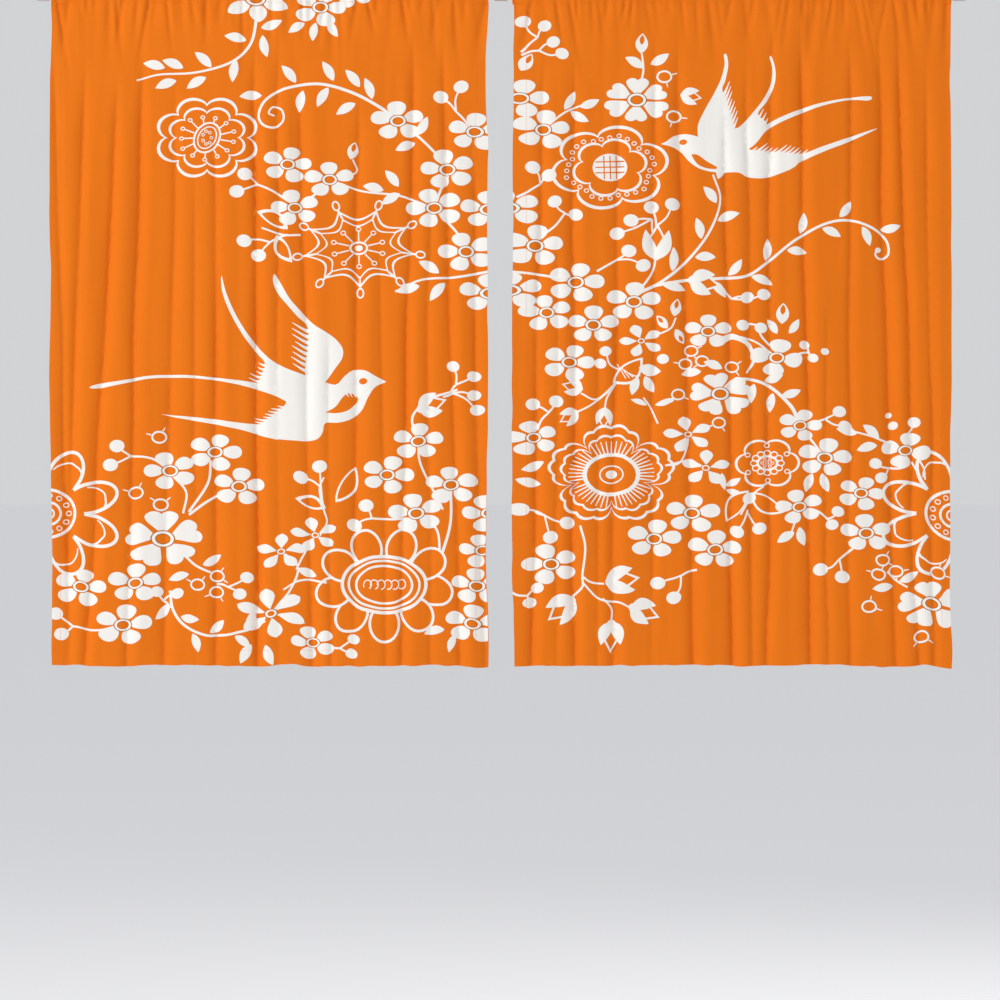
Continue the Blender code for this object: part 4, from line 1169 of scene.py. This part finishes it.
def soften(obj, width):
    """Welds a faceted solid, rounds its sharp edges by width (millimetres) and shades it smooth."""
    weld = obj.modifiers.new("weld", "WELD")
    weld.merge_threshold = 1e-6
    bevel = obj.modifiers.new("edges", "BEVEL")
    bevel.width = width * MM
    bevel.segments = 2
    bevel.limit_method = "ANGLE"
    bevel.angle_limit = math.radians(38)
    smooth = obj.modifiers.new("smooth", "NODES")
    smooth.node_group = SOFT_EDGES


def lathe(name, profile, centre, axis, material, steps=72, flutes=0, depth=0.0, fluted=(1e9, 1e9)):
    """A turned solid. profile is (along, radius) in millimetres; axis is X, -X or Z. Rings whose place
    along lies within fluted are cut with flutes of the given depth."""
    a = np.arange(steps) * math.tau / steps
    rings = []
    for along, radius in profile:
        cut = depth * (0.5 + 0.5 * np.cos(flutes * a)) if fluted[0] <= along <= fluted[1] else 0.0
        r = (radius - cut) * np.ones(steps)
        way = {"X": (1, 0, 0), "-X": (-1, 0, 0), "Z": (0, 0, 1)}[axis]
        u, v = ((0, 1, 0), (0, 0, 1)) if axis != "Z" else ((1, 0, 0), (0, 1, 0))
        rings.append(along * np.array(way) + r[:, None] * (np.cos(a)[:, None] * u
            + np.sin(a)[:, None] * v))
    count = len(profile)
    faces = [(k * steps + j, k * steps + (j + 1) % steps, (k + 1) * steps + (j + 1) % steps,
        (k + 1) * steps + j) for k in range(count - 1) for j in range(steps)]
    faces += [tuple(range(steps - 1, -1, -1)), tuple(range((count - 1) * steps, count * steps))]
    if axis == "-X":
        faces = [face[::-1] for face in faces]
    obj = add_mesh(name, np.concatenate(rings) * MM + np.array(centre) * MM, faces, material)
    obj.data.set_sharp_from_angle(angle=math.radians(34))
    return obj


for name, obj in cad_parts.items():
    finish, edge = nickel, 0.25
    if any(word in name for word in ("screw", "stud", "clamp")):
        finish, edge = zinc, 0.12
    if any(word in name for word in ("ring", "bush", "plug")):
        finish, edge = nylon, 0.2
    obj.data.materials.clear()
    obj.data.materials.append(finish)
    if not any(word in name for word in ("cloth", "hem", "finial", "clamp_screw")) or "stud" in name:
        soften(obj, edge)

turned = [(0, 9.0), (0, 9.5), (0.5, 10.0), (1.5, 10.0), (1.75, 9.7), (2.0, 10.0), (3.3, 10.0),
    (3.8, 9.5), (4.0, 8.6), (4.15, 6.9), (4.8, 5.9), (5.8, NECK), (8.6, NECK), (9.6, NECK + 0.3)]
for angle in np.linspace(math.asin(NECK / BALL) + 0.06, math.pi - 0.02, 34):
    groove = 0.3 * math.exp(-(((angle - 0.62) / 0.03) ** 2))
    turned.append((BALL_AT - (BALL - groove) * math.cos(angle), (BALL - groove) * math.sin(angle)))
for side, s in (("left", -1), ("right", 1)):
    finial = lathe(f"{side}_turned_finial", turned, (s * FINIAL_X, ROD_Y / MM, 0),
        "X" if s > 0 else "-X", nickel_turned)
    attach(finial, f"{side}_finial")
    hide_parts(f"{side}_finial")
knob = [(0, 3.0), (0, 4.9), (0.5, 5.8), (0.8, 6.0), (5.2, 6.0), (5.5, 5.8), (6.0, 4.9), (6.0, 2.3),
    (6.2, 2.0), (13.2, 2.0), (13.6, 1.6)]
for side, x, foot in (("left", -BRACKET_X, CLAMP_FOOT), ("centre", 0, CLAMP_FOOT),
        ("right", BRACKET_X, RIGHT_CLAMP_FOOT)):
    screw = lathe(f"{side}_knurled_clamp_screw", knob, (x, ROD_Y / MM, foot), "Z", zinc, 96, 24, 0.45,
        (0.7, 5.3))
    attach(screw, f"{side}_clamp_screw")
    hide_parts(f"{side}_clamp_screw")

PRINTED = [front_orange, front_white, front_brown]
REVERSE = [back_orange, back_white, back_brown]


def add_panel(panel, art):
    side = "left" if panel.side < 0 else "right"
    s = panel.side

    def draws(piece):
        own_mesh(piece)
        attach(piece, "root")

    def part(name, inner, outer, low, *rest):
        return cloth_solid(f"{side}_panel_{name}", panel, (s * inner, s * outer), (low, DROP), *rest)

    plain = [front_orange] * 3
    cloth = part("cloth", LEAD, OUTER, BACK_D, art, PRINTED + REVERSE, CLOTH)
    lead = part("lead_hem", LEAD, LEAD - HEM_WIDTH, BACK_D, art, PRINTED + plain, HEM_CLOTH, 0.0, 3.0)
    outer = part("outer_hem", OUTER, OUTER + HEM_WIDTH, BACK_D, art, PRINTED + plain, HEM_CLOTH, 0.0,
        3.0)
    turn_up = part("bottom_hem", LEAD, OUTER, DROP - HEM_DEPTH, None, plain * 2, HEM_CLOTH - CLOTH,
        CLOTH + 0.02)

    def sewn_row(name, line):
        return stitches(f"{side}_{name}_stitching", panel, line, thread)

    rows = {
        "pocket": 0.6,
        "header": HEADER_D + 0.4,
        "pocket_back": BACK_D + TAIL - 0.5,
        "header_back": REAR_HEADER_D - 0.4,
        "hem": DROP - HEM_DEPTH + 3,
    }
    sewn = []
    for name, d in rows.items():
        sewn.append(sewn_row(name, [(s * x, d) for x in np.arange(LEAD, OUTER, SAMPLE)]))
        draws(sewn[-1])
    down = np.arange(BACK_D + 2, DROP - 1, SAMPLE)
    lead_row = sewn_row("lead_hem", [(s * (LEAD - 2.0), d) for d in down])
    outer_row = sewn_row("outer_hem", [(s * (OUTER + 2.0), d) for d in down])
    for piece, node_name in ((cloth, "curtain_cloth"), (turn_up, "bottom_hem")):
        draws(piece)
        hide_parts(f"{side}_{node_name}")
    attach(lead, f"{side}_lead_edge")
    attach(lead_row, f"{side}_lead_edge")
    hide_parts(f"{side}_lead_hem")
    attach(outer, "root")
    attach(outer_row, "root")
    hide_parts(f"{side}_outer_hem")


add_panel(LEFT, draw_left())
add_panel(RIGHT, draw_right())


# Camera, floor and light

FLOOR_Z = -1.85
FLOOR_REACH = 900
LENS = 148.9
SENSOR = 36
CAMERA = (-0.0014, -5.78, -0.723)
AIM = (0, -0.08, -0.5)  # where the lights point
LIGHT_SIZE = 2.0
camera_data = bpy.data.cameras.new("camera")
camera = bpy.data.objects.new("camera", camera_data)
bpy.context.scene.collection.objects.link(camera)
camera.location = CAMERA
camera.rotation_euler = (math.radians(90), 0, 0)
camera_data.lens = LENS
camera_data.sensor_width = SENSOR
camera_data.clip_end = 2000
bpy.context.scene.camera = camera
bpy.context.scene.view_settings.view_transform = "Standard"

floor_nodes = Nodes("pale_floor")
floor_nodes.shader["Base Color"].default_value = (0.96, 0.96, 0.97, 1)
floor_nodes.shader["Roughness"].default_value = 0.9
corners = [(-1, -1), (1, -1), (1, 1), (-1, 1)]
corners = np.array([(x * FLOOR_REACH, y * FLOOR_REACH, FLOOR_Z) for x, y in corners])
floor = add_mesh("floor", corners, [(0, 1, 2, 3)], floor_nodes.material)

world = bpy.data.worlds.new("studio")
world.use_nodes = True
world.node_tree.nodes["Background"].inputs["Color"].default_value = (0.97, 0.98, 1.0, 1)
world.node_tree.nodes["Background"].inputs["Strength"].default_value = 0.66
bpy.context.scene.world = world


def area_light(name, place, power):
    data = bpy.data.lights.new(name, "AREA")
    data.shape = "SQUARE"
    data.size = LIGHT_SIZE
    data.energy = power
    lamp = bpy.data.objects.new(name, data)
    lamp.location = place
    way = Vector(AIM) - Vector(place)
    lamp.rotation_euler = way.to_track_quat("-Z", "Y").to_euler()
    bpy.context.scene.collection.objects.link(lamp)


area_light("key", (-6.0, -5.0, 1.8), 260)
area_light("back", (2.2, 3.2, 1.8), 60)
